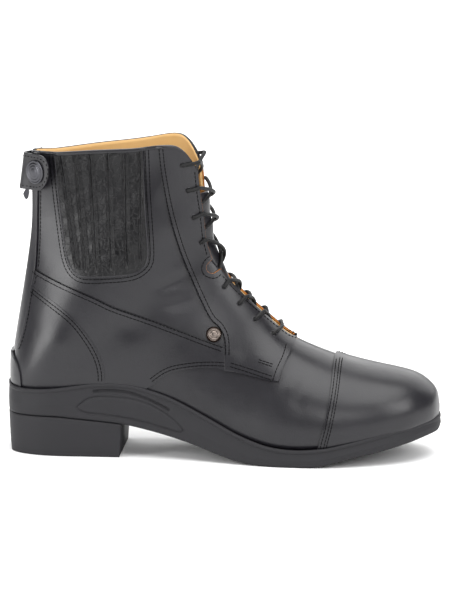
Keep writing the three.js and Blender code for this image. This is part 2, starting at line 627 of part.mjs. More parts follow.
const wall = layer(-WALL, 0).subtract(seatCut(INSOLE + CLEARANCE));
const upper = opened(wall).subtract(zipSlot);
const insole = last(0).intersect(seatCut(INSOLE));
const TONGUE_TOP = SHAFT_HEIGHT - 25;
const tongueShape = frontPrism(
  [
    V2(9 - TONGUE_HALF_WIDTH, fitZ(70)), V2(TONGUE_HALF_WIDTH - 9, fitZ(70)), V2(TONGUE_HALF_WIDTH - 6, fitZ(100)),
    V2(TONGUE_HALF_WIDTH, fitZ(140)), V2(TONGUE_HALF_WIDTH, TONGUE_TOP - 7), V2(TONGUE_HALF_WIDTH - 5, TONGUE_TOP - 1),
    V2(TONGUE_HALF_WIDTH - 15, TONGUE_TOP + 1), V2(15 - TONGUE_HALF_WIDTH, TONGUE_TOP + 1),
    V2(5 - TONGUE_HALF_WIDTH, TONGUE_TOP - 1), V2(-TONGUE_HALF_WIDTH, TONGUE_TOP - 7),
    V2(-TONGUE_HALF_WIDTH, fitZ(140)), V2(6 - TONGUE_HALF_WIDTH, fitZ(100)),
  ],
  fitX(72),
  FAR,
);
const tongueInside = both([P(168, 60), P(168, 220), P(74, 220), P(78, 160), P(92, 118), P(128, 60)]);
const tongue = layer(-WALL - CLEARANCE - TONGUE, -WALL - CLEARANCE).intersect(tongueShape).intersect(tongueInside);

// Sole: the cup round the upper, its side lines and oval, the tread and the ribs under the waist
const sideLine = (rows, width, closed) => {
  const curve = new THREE.SplineCurve(solePlan(rows));
  const steps = closed ? 18 : 8;
  const edge = (sign) =>
    curve.getPoints(steps).map((p, i) => {
      const tangent = curve.getTangent(i / steps);
      return V2(p.x - sign * tangent.y * width * 0.5, p.y + sign * tangent.x * width * 0.5);
    });
  if (!closed) return both([...edge(1), ...edge(-1).reverse()]);
  const [one, other] = [both(edge(1).slice(0, -1)), both(edge(-1).slice(0, -1))];
  return one.volume() > other.volume() ? one.subtract(other) : other.subtract(one);
};
const core = (depth) =>
  ladder(
    [
      [2.4 + depth, () => -5],
      [0.5 + depth, (s) => underside(s.x) + 1.8],
      [depth, (s) => 0.6 * underside(s.x) + 0.4 * rimHeight(s)],
      [0.9 + depth, (s) => rimHeight(s) - 2.9],
      [0.9 + depth, (s) => rimHeight(s) + 5],
    ],
    SOLE_ROWS,
  );
const OVAL = [[11, 34.5], [18.4, 40.1], [28.2, 41.8], [43, 41.2], [57.7, 38], [72.4, 30.3], [82.2, 21.5],
  [77.2, 20.2], [62.5, 24.1], [47.8, 27.2], [28.2, 29.9], [16.3, 31], [11, 34.5]];
const ARC = [[22.4, 45.2], [33.1, 46], [47.9, 44.3], [62.6, 39.1], [72.4, 34.3]];
const sideLines = sideLine(OVAL, GROOVE_WIDTH, true).add(sideLine(ARC, GROOVE_WIDTH, false));
const treads = [];
for (let x = fitX(104); x < along(0.96); x += TREAD_PITCH) {
  const [w, low, high] = [TREAD_WIDTH / 2, underside(x) - 4, underside(x) + TREAD_DEPTH];
  const tilt = underside(x + 1) - underside(x);
  const reach = 0.36 * SOLE_WIDTH * Math.sqrt(Math.max(0.1, 1 - ((x - along(0.657)) / (0.3724 * SOLE_LENGTH)) ** 2));
  treads.push(
    sidePrism([V2(x - w, low), V2(x + w, low), V2(x + w, high + w * tilt), V2(x - w, high - w * tilt)],
      swing(x) - reach, swing(x) + reach),
  );
}
const ribs = [];
for (let x = fitX(48); x < fitX(80); x += (fitX(80) - fitX(48)) / 4.57) {
  const z = underside(x) + 0.3;
  ribs.push(sidePrism(circle([x, z], WAIST_RIB + 0.5, 6), swing(x) - 0.188 * SOLE_WIDTH, swing(x) + 0.188 * SOLE_WIDTH));
}
const outsole = blank
  .subtract(last(CLEARANCE))
  .subtract(sideLines.subtract(core(GROOVE_DEPTH)))
  .subtract(wasm.Manifold.union(treads))
  .add(wasm.Manifold.union(ribs).subtract(blank.translate(0, 0, 0.8)));
const heelLevels = [
  [HEEL_TAPER + 0.8, () => 0],
  [HEEL_TAPER, () => 0.8],
  [0.7, (s) => underside(s.x) - CLEARANCE - 1],
  [1.2, (s) => underside(s.x) - CLEARANCE],
];
const breast = HEEL_LENGTH - HEEL_CENTRE;
const heelBlock = ladder(heelLevels, SOLE_ROWS).intersect(
  both([
    V2(-FAR, -1), V2(breast - 2.2, -1), V2(breast - 1.6, 0.3 * HEEL_SEAT), V2(breast, HEEL_SEAT + 6), V2(-FAR, HEEL_SEAT + 6),
  ]),
);

const facing = (side) => {
  const sheet = opened(panel(FACING, facingRegion)).intersect(half(side));
  return side < 0 ? sheet.subtract(rivetHole) : sheet;
};
const quarter = (side) =>
  panel(PANEL, quarterRegion)
    .intersect(half(side))
    .subtract(facingGap)
    .subtract(counterGap)
    .subtract(stripGap)
    .subtract(zipSlot);
const counter = panel(PANEL + 0.3, counterRegion).subtract(stripGap).subtract(spurGap).subtract(zipSlot);
const strip = (side) =>
  panel(STRIP, stripRegion).subtract(spurGap).subtract(zipSlot).subtract(aboveCollar).intersect(half(side));
const spurRest = panel(SPUR_REST, spurRegion);
const toeCap = panel(CAP, capRegion);
const gusset = (side) => {
  const sheet = layer(CLEARANCE, CLEARANCE + PLEAT_HEIGHT)
    .intersect(both(smooth(GUSSET_LINE, 18)))
    .subtract(aboveCollar)
    .intersect(half(side));
  const valleys = PLEAT_TOPS.map((x, i) =>
    both([P(x - 1, 215), P(x + 1, 215), P(PLEAT_FEET[i] + 0.6, 129), P(PLEAT_FEET[i] - 0.6, 129)]),
  );
  return sheet.subtract(
    layer(CLEARANCE + GUSSET, CLEARANCE + PLEAT_HEIGHT + 1).intersect(wasm.Manifold.union(valleys)),
  );
};

// Zip: tape and closed chain in the slot, slider with its bridge, and the pull that hangs from the bridge
const band = (halfWidth, from, to, low) =>
  layer(from, to).intersect(
    frontPrism(
      [V2(-halfWidth, low), V2(halfWidth, low), V2(halfWidth, fitZ(260)), V2(-halfWidth, fitZ(260))],
      -FAR,
      fitX(-14),
    ),
  );
const zip = band(ZIP_HALF_SLOT - CLEARANCE, -WALL + 0.3, -WALL + 0.3 + ZIP_TAPE, fitZ(68) + 0.4)
  .add(band(1.7, -WALL + 0.3, -WALL + 0.3 + ZIP_CHAIN, fitZ(68) + 0.4))
  .subtract(aboveCollar);
const zipBack = (z) => meet(0.01, z, [1, 2], (p, q) => p.x < q.x).point.x;
const SLIDER_LOW = SHAFT_HEIGHT - 26.5;
const slide = zipBack(SLIDER_LOW + SLIDER_LENGTH / 2);
const face = slide - (-WALL + 0.3 + ZIP_CHAIN) - CLEARANCE; // inner face of the slider
const sliderPlate = sidePrism(
  [
    V2(face, SLIDER_LOW), V2(face, SLIDER_LOW + SLIDER_LENGTH), V2(face - 1, SLIDER_LOW + SLIDER_LENGTH),
    V2(face - SLIDER_THICKNESS, SLIDER_LOW + SLIDER_LENGTH - 1), V2(face - SLIDER_THICKNESS, SLIDER_LOW + 1),
    V2(face - 1, SLIDER_LOW),
  ],
  -SLIDER_WIDTH / 2,
  SLIDER_WIDTH / 2,
);
const outerFace = face - SLIDER_THICKNESS;
const barX = outerFace - 0.35 - PULL_BAR;
const barZ = SLIDER_LOW + 4.4;
const bridge = cord(
  [
    V3(outerFace + 0.5, 0, barZ + 2.6), V3(barX, 0, barZ + 2.4), V3(barX - 1.35, 0, barZ + 1),
    V3(barX - 1.35, 0, barZ - 1), V3(barX, 0, barZ - 2.4), V3(outerFace + 0.5, 0, barZ - 2.6),
  ],
  PULL_BAR,
  8,
);
const slider = sliderPlate.add(bridge);
const tip = barZ - PULL_LENGTH;
const pullPlate = sidePrism(
  [
    V2(barX + 0.5, barZ - 3.6), V2(barX + 0.9, tip + 4.3), V2(barX + 0.2, tip + 0.9), V2(barX - 0.9, tip),
    V2(barX - 2.1, tip + 0.9), V2(barX - 3.1, tip + 3.9), V2(barX - 2.1, tip + 6.2), V2(barX - 0.9, tip + 7.6),
    V2(barX - 0.5, barZ - 3.6),
  ],
  -PULL_WIDTH / 2,
  PULL_WIDTH / 2,
);
const arm = (side) =>
  sidePrism(
    [V2(barX + 0.45, barZ), V2(barX + 0.45, barZ - 4), V2(barX - 0.45, barZ - 4), V2(barX - 0.45, barZ)],
    side < 0 ? -PULL_WIDTH / 2 : PULL_WIDTH / 2 - 1,
    side < 0 ? 1 - PULL_WIDTH / 2 : PULL_WIDTH / 2,
  );
const pullBar = pin(V3(barX, 0, barZ), V3(0, 1, 0), PULL_BAR, -PULL_WIDTH / 2, PULL_WIDTH / 2, 10);
const pull = pullPlate.add(arm(-1)).add(arm(1)).add(pullBar);

// Snap tab: a stiff strap round the back, and the cap of its snap
const tabPath = TAB_PATH.map(([x, y, low, high]) => [fitX(x), (y / 45) * COLLAR_WIDTH, fitZ(low), fitZ(high)]);
const tabColumns = tabPath[0].map((_, c) => spline(tabPath.map((row) => row[c])));
const TAB_STEPS = 26;
const TAB_BACK = fitZ(189);
const tabRings = [];
for (let i = 0; i <= TAB_STEPS; i++) {
  const place = (i / TAB_STEPS) * (TAB_PATH.length - 1);
  const [x, y, low, high] = tabColumns.map((f) => f(place));
  const [nextX, nextY] = tabColumns.map((f) => f(Math.min(TAB_PATH.length - 1, place + 0.01)));
  const [formerX, formerY] = tabColumns.map((f) => f(Math.max(0, place - 0.01)));
  const inward = V2(formerY - nextY, nextX - formerX).normalize();
  const lean = 0.125 * THREE.MathUtils.clamp((fitX(-23.5) - x) / 4, 0, 1);
  const shorten = (TAB_HEIGHT - 24.4) / 2;
  const corner = (depth, z) => V3(x + inward.x * depth + lean * (z - TAB_BACK), y + inward.y * depth, z);
  tabRings.push([
    corner(0, low - shorten), corner(TAB_THICKNESS, low - shorten),
    corner(TAB_THICKNESS, high + shorten), corner(0, high + shorten),
  ]);
}
const tab = skin(tabRings);
const snapFacing = V3(-0.638, -0.77, 0);
const snapCap = turned(
  [
    [0, CLEARANCE], [SNAP_RADIUS, CLEARANCE], [SNAP_RADIUS, CLEARANCE + 0.9], [SNAP_RADIUS - 1, CLEARANCE + 1.2],
    [SNAP_RADIUS - 1.4, CLEARANCE + 1], [SNAP_RADIUS - 2.4, CLEARANCE + 1.1],
    [SNAP_RADIUS - 3, CLEARANCE + SNAP_THICKNESS - 0.4], [0, CLEARANCE + SNAP_THICKNESS],
  ],
  V3(fitX(SNAP_PLACE[0]), (SNAP_PLACE[1] / 45) * COLLAR_WIDTH, fitZ(SNAP_PLACE[2])),
  snapFacing,
  14,
);
const rivet = turned(
  [
    [0, CLEARANCE], [RIVET_RADIUS, CLEARANCE], [RIVET_RADIUS, CLEARANCE + 1.1], [RIVET_RADIUS - 1, CLEARANCE + 1.6],
    [RIVET_RADIUS - 1.5, CLEARANCE + 1.2], [2, CLEARANCE + 1.3], [1.6, CLEARANCE + RIVET_THICKNESS + 0.2],
    [0, CLEARANCE + RIVET_THICKNESS + 0.3],
  ],
  rivetSpot.point,
  rivetSpot.out,
  12,
);

// Laces: a crossing between each pair of eyelets and the next, and a bar at the lowest pair
const throatHalf = (z) => {
  const [foot, ankle] = [throatEdge[1], throatEdge[2]];
  const slope = foot.x + ((ankle.x - foot.x) * (z - foot.y)) / (ankle.y - foot.y);
  return THREE.MathUtils.clamp(slope, foot.x, z < fitZ(124) ? ankle.x : THROAT_HALF_GAP);
};
const over = FACING + 0.8 + LACE_RADIUS;
const strand = (from, to, side, height) => {
  const a = eyelets[from][side < 0 ? 0 : 1];
  const b = eyelets[to][side < 0 ? 1 : 0];
  const z = (share) => THREE.MathUtils.lerp(a.point.z, b.point.z, share);
  const nearGap = throatHalf(z(0.2));
  const farGap = throatHalf(z(0.78));
  return cord(
    [
      raised(a, over + 0.2),
      raised(onFront(side * (nearGap + 0.2), z(0.2)), over + 0.95),
      raised(onFront(0, z(0.5)), height),
      raised(onFront(-side * (farGap - LACE_RADIUS - 2.4), z(0.75)), 0.25),
    ],
    LACE_RADIUS,
    6,
  );
};
const laces = [];
for (let k = 0; k + 1 < EYELETS; k++) laces.push(strand(k, k + 1, -1, 1.3).add(strand(k, k + 1, 1, 0.3)));
const [barLeft, barRight] = eyelets[EYELETS - 1];
const barHeight = barLeft.point.z + 0.5;
laces.push(
  cord(
    [
      raised(barLeft, over + 0.2),
      raised(onFront(-throatHalf(barHeight) - 1.5, barHeight), over + 0.2),
      raised(onFront(0, barHeight), over + 0.4),
      raised(onFront(throatHalf(barHeight) + 1.5, barHeight), over + 0.2),
      raised(barRight, over + 0.2),
    ],
    LACE_RADIUS,
    10,
  ),
);

const group = new THREE.Group();
function add(name, solid, finish) {
  const mesh = new THREE.Mesh(toGeometry(solid), new THREE.MeshStandardMaterial(finish));
  mesh.name = name;
  group.add(mesh);
}
add("outsole", outsole, RUBBER);
add("heel_block", heelBlock, RUBBER);
add("insole", insole, TAN_LEATHER);
add("upper", upper, BLACK_LEATHER);
add("tongue", tongue, BLACK_LEATHER);
add("toe_cap", toeCap, BLACK_LEATHER);
add("heel_counter", counter, BLACK_LEATHER);
add("spur_rest", spurRest, BLACK_LEATHER);
for (const [word, side] of [["lateral", -1], ["medial", 1]]) {
  add(`facing_${word}`, facing(side), BLACK_LEATHER);
  add(`quarter_${word}`, quarter(side), BLACK_LEATHER);
  add(`gusset_${word}`, gusset(side), PLEATED_LEATHER);
  add(`zip_strip_${word}`, strip(side), BLACK_LEATHER);
}
add("zip", zip, BLACK_METAL);
add("zip_slider", slider, BLACK_METAL);
add("zip_pull", pull, BLACK_METAL);
add("snap_tab", tab, BLACK_LEATHER);
add("snap_cap", snapCap, BLACK_METAL);
add("rivet", rivet, OLD_SILVER);
laces.forEach((lace, k) => add(`lace_${k + 1}`, lace, CORD));
export default group;
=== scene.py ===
"""Dresses a packed lace-up riding boot: leather, linings, seams, laces, zip and moulded sole.

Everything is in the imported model's own frame: +X to the toe, +Y to the inner side of the foot, +Z up, with
the origin on the floor under the middle of the heel. Sizes are in millimetres until a mesh is made.
"""

import json
import logging
import math
from dataclasses import dataclass, field
from enum import Enum
from typing import Callable, Sequence

import bmesh
import bpy
import numpy as np
from mathutils import Matrix, Vector
from mathutils.bvhtree import BVHTree

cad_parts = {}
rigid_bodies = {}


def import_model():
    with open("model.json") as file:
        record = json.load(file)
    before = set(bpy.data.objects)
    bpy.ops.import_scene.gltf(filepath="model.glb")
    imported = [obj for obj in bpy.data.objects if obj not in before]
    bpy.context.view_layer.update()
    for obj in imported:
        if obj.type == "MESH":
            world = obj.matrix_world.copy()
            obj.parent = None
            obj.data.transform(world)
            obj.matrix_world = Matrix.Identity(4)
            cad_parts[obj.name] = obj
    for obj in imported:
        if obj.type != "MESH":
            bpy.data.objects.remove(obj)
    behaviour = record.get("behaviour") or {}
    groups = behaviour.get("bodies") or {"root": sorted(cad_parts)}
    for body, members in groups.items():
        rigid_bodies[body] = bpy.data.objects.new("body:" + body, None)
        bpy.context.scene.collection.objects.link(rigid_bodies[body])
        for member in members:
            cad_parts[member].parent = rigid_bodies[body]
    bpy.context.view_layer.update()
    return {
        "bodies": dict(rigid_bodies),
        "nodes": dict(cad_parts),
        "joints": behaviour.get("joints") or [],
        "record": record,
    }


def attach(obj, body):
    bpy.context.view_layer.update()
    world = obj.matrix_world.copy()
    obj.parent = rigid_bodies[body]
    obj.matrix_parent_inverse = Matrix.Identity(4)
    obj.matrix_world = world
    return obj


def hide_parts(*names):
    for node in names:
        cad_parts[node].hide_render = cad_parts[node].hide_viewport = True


LOG = logging.getLogger("riding_boot")
MM = 0.001
Pairs = Sequence[tuple[float, ...]]

# Driving sizes of the boot, as in the solids
SOLE_LENGTH = 290.0
HEEL_CENTRE = 38.5
SHAFT_HEIGHT = 203.0
HEEL_SEAT = 34.0
SOLE_THICKNESS = 8.0
TOE_SPRING = 16.0
BALL_WIDTH = 95.0
HEEL_WIDTH = 58.0
COLLAR_WIDTH = 45.0
BACK_RADIUS = 4.5
SOLE_WIDTH = 101.0
RIM_SIDE = 17.5
HEEL_TAPER = 3.2
WALL = 2.2
THROAT_HALF_GAP = 15.0
THROAT_FOOT = 78.0
ZIP_HALF_SLOT = 3.2
EDGE_SEAM = 2.6
# Keeps rays at the back off the seam of the last's grid
OFF_CENTRE = 0.003
SLOT_FOOT = 66.0
FACING_LIFT = 1.8

STATIONS = (
    # front x, front z, back x, back z, ball, heel, collar, widest, front power, back power
    (0.9914, 0.125, 0.9914, 0.03, 0, 0, 0, 0.4, 2, 2),
    (0.9878, 0.155, 0.986, 0.006, 0.21, 0, 0, 0.38, 2.1, 2.4),
    (0.98, 0.18, 0.973, 0, 0.39, 0, 0, 0.34, 2.1, 3.6),
    (0.958, 0.2085, 0.947, 0, 0.57, 0, 0, 0.3, 2.1, 5),
    (0.92, 0.2315, 0.91, 0, 0.735, 0, 0, 0.28, 2.1, 6),
    (0.848, 0.254, 0.842, 0, 0.895, 0, 0, 0.26, 2.05, 7),
    (0.762, 0.288, 0.762, 0, 0.98, 0, 0, 0.24, 1.95, 7),
    (0.684, 0.333, 0.692, 0, 0.985, 0, 0, 0.22, 1.85, 7),
    (0.64, 0.37, 0.628, 0, 0.945, 0, 0, 0.22, 1.8, 7),
    (0.607, 0.414, 0.548, 0, 0.82, 0.01, 0, 0.23, 1.8, 6.5),
    (0.577, 0.46, 0.468, 0, 0.62, 0.16, 0, 0.25, 1.8, 6),
    (0.549, 0.508, 0.375, 0, 0.38, 0.43, 0, 0.27, 1.85, 5),
    (0.527, 0.554, 0.265, 0, 0.13, 0.81, 0, 0.29, 1.9, 4.5),
    (0.512, 0.598, 0.148, 0, 0.03, 1, 0, 0.3, 1.95, 3.6),
    (0.5, 0.642, 0.042, 0.012, 0, 1.05, 0.01, 0.31, 2, 3),
    (0.492, 0.689, 0.014, 0.088, 0, 1, 0.08, 0.35, 2, 2.7),
    (0.487, 0.739, 0.022, 0.205, 0, 0.83, 0.25, 0.43, 2, 2.25),
    (0.482, 0.793, 0.035, 0.33, 0, 0.6, 0.48, 0.52, 2, 1.85),
    (0.476, 0.848, 0.0475, 0.462, 0, 0.36, 0.68, 0.62, 2, 1.55),
    (0.469, 0.898, 0.0565, 0.593, 0, 0.15, 0.87, 0.71, 2, 1.35),
    (0.461, 0.947, 0.057, 0.717, 0, 0.04, 0.96, 0.78, 2, 1.2),
    (0.453, 0.999, 0.0575, 0.832, 0, 0, 1, 0.8, 2, 1.15),
    (0.446, 1.052, 0.058, 0.89, 0, 0, 1, 0.8, 2, 1.15),
)
SEAT_LINE = (
    # x, heel, toe
    (0, 1, 0), (0.12, 1, 0), (0.22, 1, 0), (0.3, 0.95, 0), (0.38, 0.75, 0), (0.46, 0.44, 0), (0.54, 0.15, 0),
    (0.61, 0.02, 0), (0.68, 0, 0), (0.75, 0, 0.06), (0.83, 0, 0.32), (0.91, 0, 0.66), (1, 0, 1.02),
)
UNDERSIDE = (
    # x, drop, lift
    (0, 0.79, 0), (0.12, 0.81, 0), (0.27, 0.69, 0), (0.33, 0.585, 0), (0.39, 0.46, 0), (0.45, 0.31, 0),
    (0.51, 0.13, 0), (0.56, 0.03, 0), (0.6, 0, 0), (0.65, 0, 0), (0.72, 0, 0), (0.76, 0, 0.14),
    (0.8, 0, 0.36), (0.9, 0, 0.72), (1, 0, 1.15),
)
OUTLINE = (
    # x, half, swing, rim
    (1, 0, 0.075, 0.17), (0.993, 0.225, 0.075, 0.19), (0.975, 0.41, 0.07, 0.23), (0.943, 0.595, 0.058, 0.27),
    (0.895, 0.77, 0.04, 0.31), (0.83, 0.905, 0.012, 0.32), (0.76, 0.968, -0.015, 0.27),
    (0.69, 0.97, -0.03, 0.22), (0.62, 0.925, -0.045, 0.28), (0.55, 0.84, -0.05, 0.47),
    (0.48, 0.75, -0.05, 0.69), (0.41, 0.678, -0.04, 0.86), (0.34, 0.642, -0.025, 0.96),
    (0.27, 0.637, -0.01, 1), (0.2, 0.65, 0, 0.93), (0.135, 0.655, 0, 0.76), (0.08, 0.615, 0, 0.66),
    (0.035, 0.49, 0, 0.64), (0.01, 0.295, 0, 0.67), (0, 0, 0, 0.7),
)

# Pattern lines of the leather in side view, x and z
COLLAR_LINE = ((-60, 201.6), (-20.1, 202.2), (-3.4, 202.4), (20.6, 205.1), (46.6, 207.6), (62, 210),
               (73, 210.9), (78.6, 209.1), (82.8, 205), (86.6, 198.8), (90.1, 192))
FACING_LINE = ((65.5, 209.6), (67.3, 192.2), (71.3, 168.8), (76.3, 149.4), (81.3, 134.1), (88.5, 116.5),
               (97.8, 97.2), (103.2, 91.2), (107.2, 86.3), (109.3, 80.9), (109.8, 75), (109.8, 61.5))
QUARTER_FOOT = ((109.8, 61.5), (117, 60.6), (126, 58.4), (134, 56.2), (140.6, 54.6), (143.6, 54.2))
QUARTER_FRONT = ((143.6, 54.2), (146.3, 63.7), (149, 69.9), (150.4, 76), (150.6, 79.5))
QUARTER_TOP = ((-17.6, 123.2), (-11.6, 120.1), (18.2, 109.9), (34.5, 102.8), (60.2, 93.8), (92.2, 82),
               (110.4, 75.2))
QUARTER_LOW = ((110.4, 62), (97.2, 63.4), (77.7, 60.5), (67.6, 55.9), (62.1, 50.8), (56, 47.2))
QUARTER_WAIST = ((24.4, 48.2), (42, 48.4), (56, 47.2))
COUNTER_LINE = ((-20.6, 112.2), (-19.7, 111.8), (-8, 105.8), (3.4, 98.8), (15.6, 87.2), (24.9, 73.2),
                (29.1, 60.8), (29.6, 48))
COUNTER_BACK = ((-20.6, 112.2), (-24.2, 92), (-28, 76), (-31, 68), (-30, 62), (-27.6, 54), (-26.8, 42))
COUNTER_FOOT = ((-26.8, 42), (0, 44.8), (15, 46.8), (29.6, 48))
STRIP_LINE = ((-15.6, 203), (-17.1, 174), (-17.4, 144.5), (-18.7, 121.1), (-20.8, 111), (-23.8, 90.3),
              (-27.5, 74.6), (-31.5, 67.2))
SPUR_EDGE = ((-30.6, 63.4), (-28.5, 59.7), (-26.6, 54), (-25.9, 46.1), (-25.9, 40))
CAP_LINE = ((180.7, 66.7), (180.5, 49.5), (177.3, 29.3), (173.1, 13.2), (171.5, 6))
GUSSET_BACK = ((-5.9, 202.4), (-3.1, 174.9), (1.1, 145.9), (4.5, 130.9))
GUSSET_FOOT = ((4.5, 130.9), (9.6, 123.9), (17.7, 121.9), (31.8, 122.9), (47.5, 124.9), (55.4, 129.5),
               (58.2, 137.3))
GUSSET_FRONT = ((54.1, 208.4), (55.3, 182.9), (57.1, 158.7), (58.2, 137.3))
GUSSET_RING = GUSSET_BACK[:-1] + GUSSET_FOOT + GUSSET_FRONT[::-1][1:]
# The gusset's tucks: x at the height of their feet and of their tops
TUCK_HEIGHTS = (129, 215)
TUCK_FEET = (11, 17.6, 24.8, 34.9, 45.4, 54.6)
TUCK_TOPS = (-3.4, 7.6, 18.1, 31, 42.5, 53.6)
EYELET_PLACES = ((80.4, 197.8), (83.7, 180.5), (87.4, 162.2), (92.1, 145.1), (107.3, 114.6), (117.5, 103.2),
                 (128.2, 92.7), (140.3, 83.2))
NOTCH_PLACE = (99.4, 127.7)
RIVET_PLACE = (102.2, 84.7)
OVAL = ((11, 34.5), (18.4, 40.1), (28.2, 41.8), (43, 41.2), (57.7, 38), (72.4, 30.3), (82.2, 21.5),
        (77.2, 20.2), (62.5, 24.1), (47.8, 27.2), (28.2, 29.9), (16.3, 31))
ARC = ((22.4, 45.2), (33.1, 46), (47.9, 44.3), (62.6, 39.1), (72.4, 34.3))

# Seams: name of the group, x and z of its line, height of the leather, and distance of each row from the line
SHAFT_SEAMS = (
    ("facing", ((66.9, 209.0), (68.7, 192.2), (72.7, 168.8), (77.7, 149.4), (82.7, 134.1), (89.9, 117),
                (99.3, 97.9), (104.7, 91.9), (108.7, 86.8), (110.8, 81.3), (111.5, 75), (111.5, 71.5)),
     1.85, (-1.25, 1.25)),
    ("quarter", ((-19.2, 122.4), (-11.6, 118.6), (18.2, 108.4), (34.5, 101.3), (60.2, 92.3), (92.2, 80.5),
                 (108, 75.2)), 1.45, (-1.25, 1.25)),
    ("counter", ((-19.7, 110.5), (3.4, 97.3), (15.1, 85.9), (23.7, 72.4), (27.8, 60.6), (28.3, 52.4)),
     1.75, (-0.6, -2.9)),
    ("gusset", GUSSET_RING, 0.05, (-1.6, -4.0)),
    ("quarter_low", ((113.3, 63.9), (97.2, 64.2), (77.7, 61.6), (67.6, 57.2), (61.6, 52.6)),
     1.45, (-0.4, -2.6)),
    ("facing_low", ((141.4, 56.0), (126, 60.4), (113.3, 63.9)), 1.85, (-0.6, -2.9)),
    ("facing_front", ((149, 76.5), (147.7, 70.4), (145.1, 64.4), (142.4, 56.0)), 1.85, (0.0,)),
    ("strip", ((-14.1, 199), (-15.6, 174), (-15.9, 144.5), (-16.9, 124.8)), 0.05, (0.0,)),
    ("strip", ((-17.1, 119), (-18.4, 113)), 1.45, (0.0,)),
    ("strip", ((-19, 109.5), (-20.6, 102), (-22.2, 91), (-25.8, 75.4), (-28.4, 69.4)), 1.75, (0.0,)),
)
VAMP_SEAMS = (
    ("cap", ((181.2, 65.2), (181.0, 49.5), (177.8, 29.3), (173.9, 14.5)), 1.62, (0.9, 3.0, 4.6)),
    ("tack", ((132.4, 68.1), (141.9, 65.2)), 1.85, (-0.7, 0.7)),
)

# Soft creases in side view: x and z of both ends, height (troughs below 0) and half width
CREASES = ((57, 113, 86, 128, -0.8, 4.5), (62, 103, 93, 112, -0.6, 4.5), (30, 99, 62, 84, -0.7, 8.0),
           (-8, 92, 12, 66, 0.5, 9.0), (72, 140, 66, 172, 0.5, 7.0), (157, 72, 149, 42, -0.5, 4.0),
           (167, 66, 160, 36, -0.4, 3.5), (70, 122, 84, 134, 0.5, 4.0), (100, 78, 128, 74, 0.4, 7.0))


class Side(Enum):
    """The side of the foot that a piece lies on, as the sign of y."""

    LATERAL = -1
    MEDIAL = 1

    @property
    def word(self) -> str:
        """The side's name as the pieces carry it."""
        return self.name.lower()


def along(share: float) -> float:
    """Place along the boot of a share of the sole's length.

    Args:
        share: 0 at the back of the sole, 1 at the tip.

    Returns:
        x in millimetres.
    """
    return share * SOLE_LENGTH - HEEL_CENTRE


def natural_spline(values: np.ndarray, places: np.ndarray) -> np.ndarray:
    """Natural cubic spline through evenly spaced rows.

    Args:
        values: one row for each whole place, one column for each quantity.
        places: where to read it, from 0 to the last row.

    Returns:
        A row of quantities for each place.
    """
    count = len(values)
    system = np.eye(count)
    right = np.zeros_like(values, dtype=float)
    for i in range(1, count - 1):
        system[i, i - 1:i + 2] = (0.5, 2.0, 0.5)
        right[i] = 3 * (values[i + 1] - 2 * values[i] + values[i - 1])
    bend = np.linalg.solve(system, right)
    i = np.clip(np.floor(places).astype(int), 0, count - 2)
    b = (places - i)[:, None]
    a = 1 - b
    return (a * values[i] + b * values[i + 1]
            + ((a ** 3 - a) * bend[i] + (b ** 3 - b) * bend[i + 1]) / 6)


def run_length(points: np.ndarray) -> np.ndarray:
    """Length along a line of points up to each of them."""
    return np.concatenate([[0], np.cumsum(np.linalg.norm(np.diff(points, axis=0), axis=1))])


def read_rows(goal: np.ndarray | float, places: np.ndarray, rows: np.ndarray) -> np.ndarray:
    """Rows read between their places.

    Args:
        goal: where to read.
        places: the place of each row, rising.
        rows: one column for each quantity.

    Returns:
        A row for each goal.
    """
    return np.stack([np.interp(goal, places, rows[:, k]) for k in range(rows.shape[1])], axis=-1)


def unit_rows(rows: np.ndarray) -> np.ndarray:
    """Directions of length 1."""
    return rows / np.maximum(np.linalg.norm(rows, axis=-1, keepdims=True), 1e-9)


def ease(share: np.ndarray) -> np.ndarray:
    """Smooth rise from 0 to 1."""
    return share * share * (3 - 2 * share)


def table_line(table: Pairs, value: Callable[[np.ndarray], np.ndarray]) -> Callable[[np.ndarray], np.ndarray]:
    """Line through a table's rows, rounded over a short stretch.

    Args:
        table: rows whose first column is a share of the length.
        value: turns the array of rows into the quantity at each.

    Returns:
        A function of x in millimetres.
    """
    rows = np.array(sorted(table), dtype=float)
    shares, heights = rows[:, 0], value(rows)

    def read(x: np.ndarray) -> np.ndarray:
        """The line's value at each x."""
        share = (np.asarray(x, dtype=float) + HEEL_CENTRE) / SOLE_LENGTH
        at = [np.interp(np.clip(share + d, 0, 1), shares, heights) for d in (-0.02, 0.0, 0.02)]
        return (at[0] + 2 * at[1] + at[2]) / 4

    return read


SEAT_RISE = HEEL_SEAT - SOLE_THICKNESS
seat = table_line(SEAT_LINE, lambda r: SOLE_THICKNESS + r[:, 1] * SEAT_RISE + r[:, 2] * TOE_SPRING)
underside = table_line(UNDERSIDE, lambda r: r[:, 1] * HEEL_SEAT + r[:, 2] * TOE_SPRING)
swing = table_line(OUTLINE, lambda r: 0.5 * r[:, 2] * SOLE_WIDTH)


def smooth_line(points: Pairs, count: int) -> np.ndarray:
    """Smooth line through points, read at even steps of length.

    Args:
        points: the points to pass through.
        count: how many points to return.

    Returns:
        count rows of coordinates.
    """
    given = np.array(points, dtype=float)
    steps = np.linspace(0, len(given) - 1, 40 * len(given))
    if len(given) > 2:
        fine = natural_spline(given, steps)
    else:
        fine = given[0] + (given[-1] - given[0]) * (steps[:, None] / steps[-1])
    reach = run_length(fine)
    return read_rows(np.linspace(0, reach[-1], count), reach, fine)


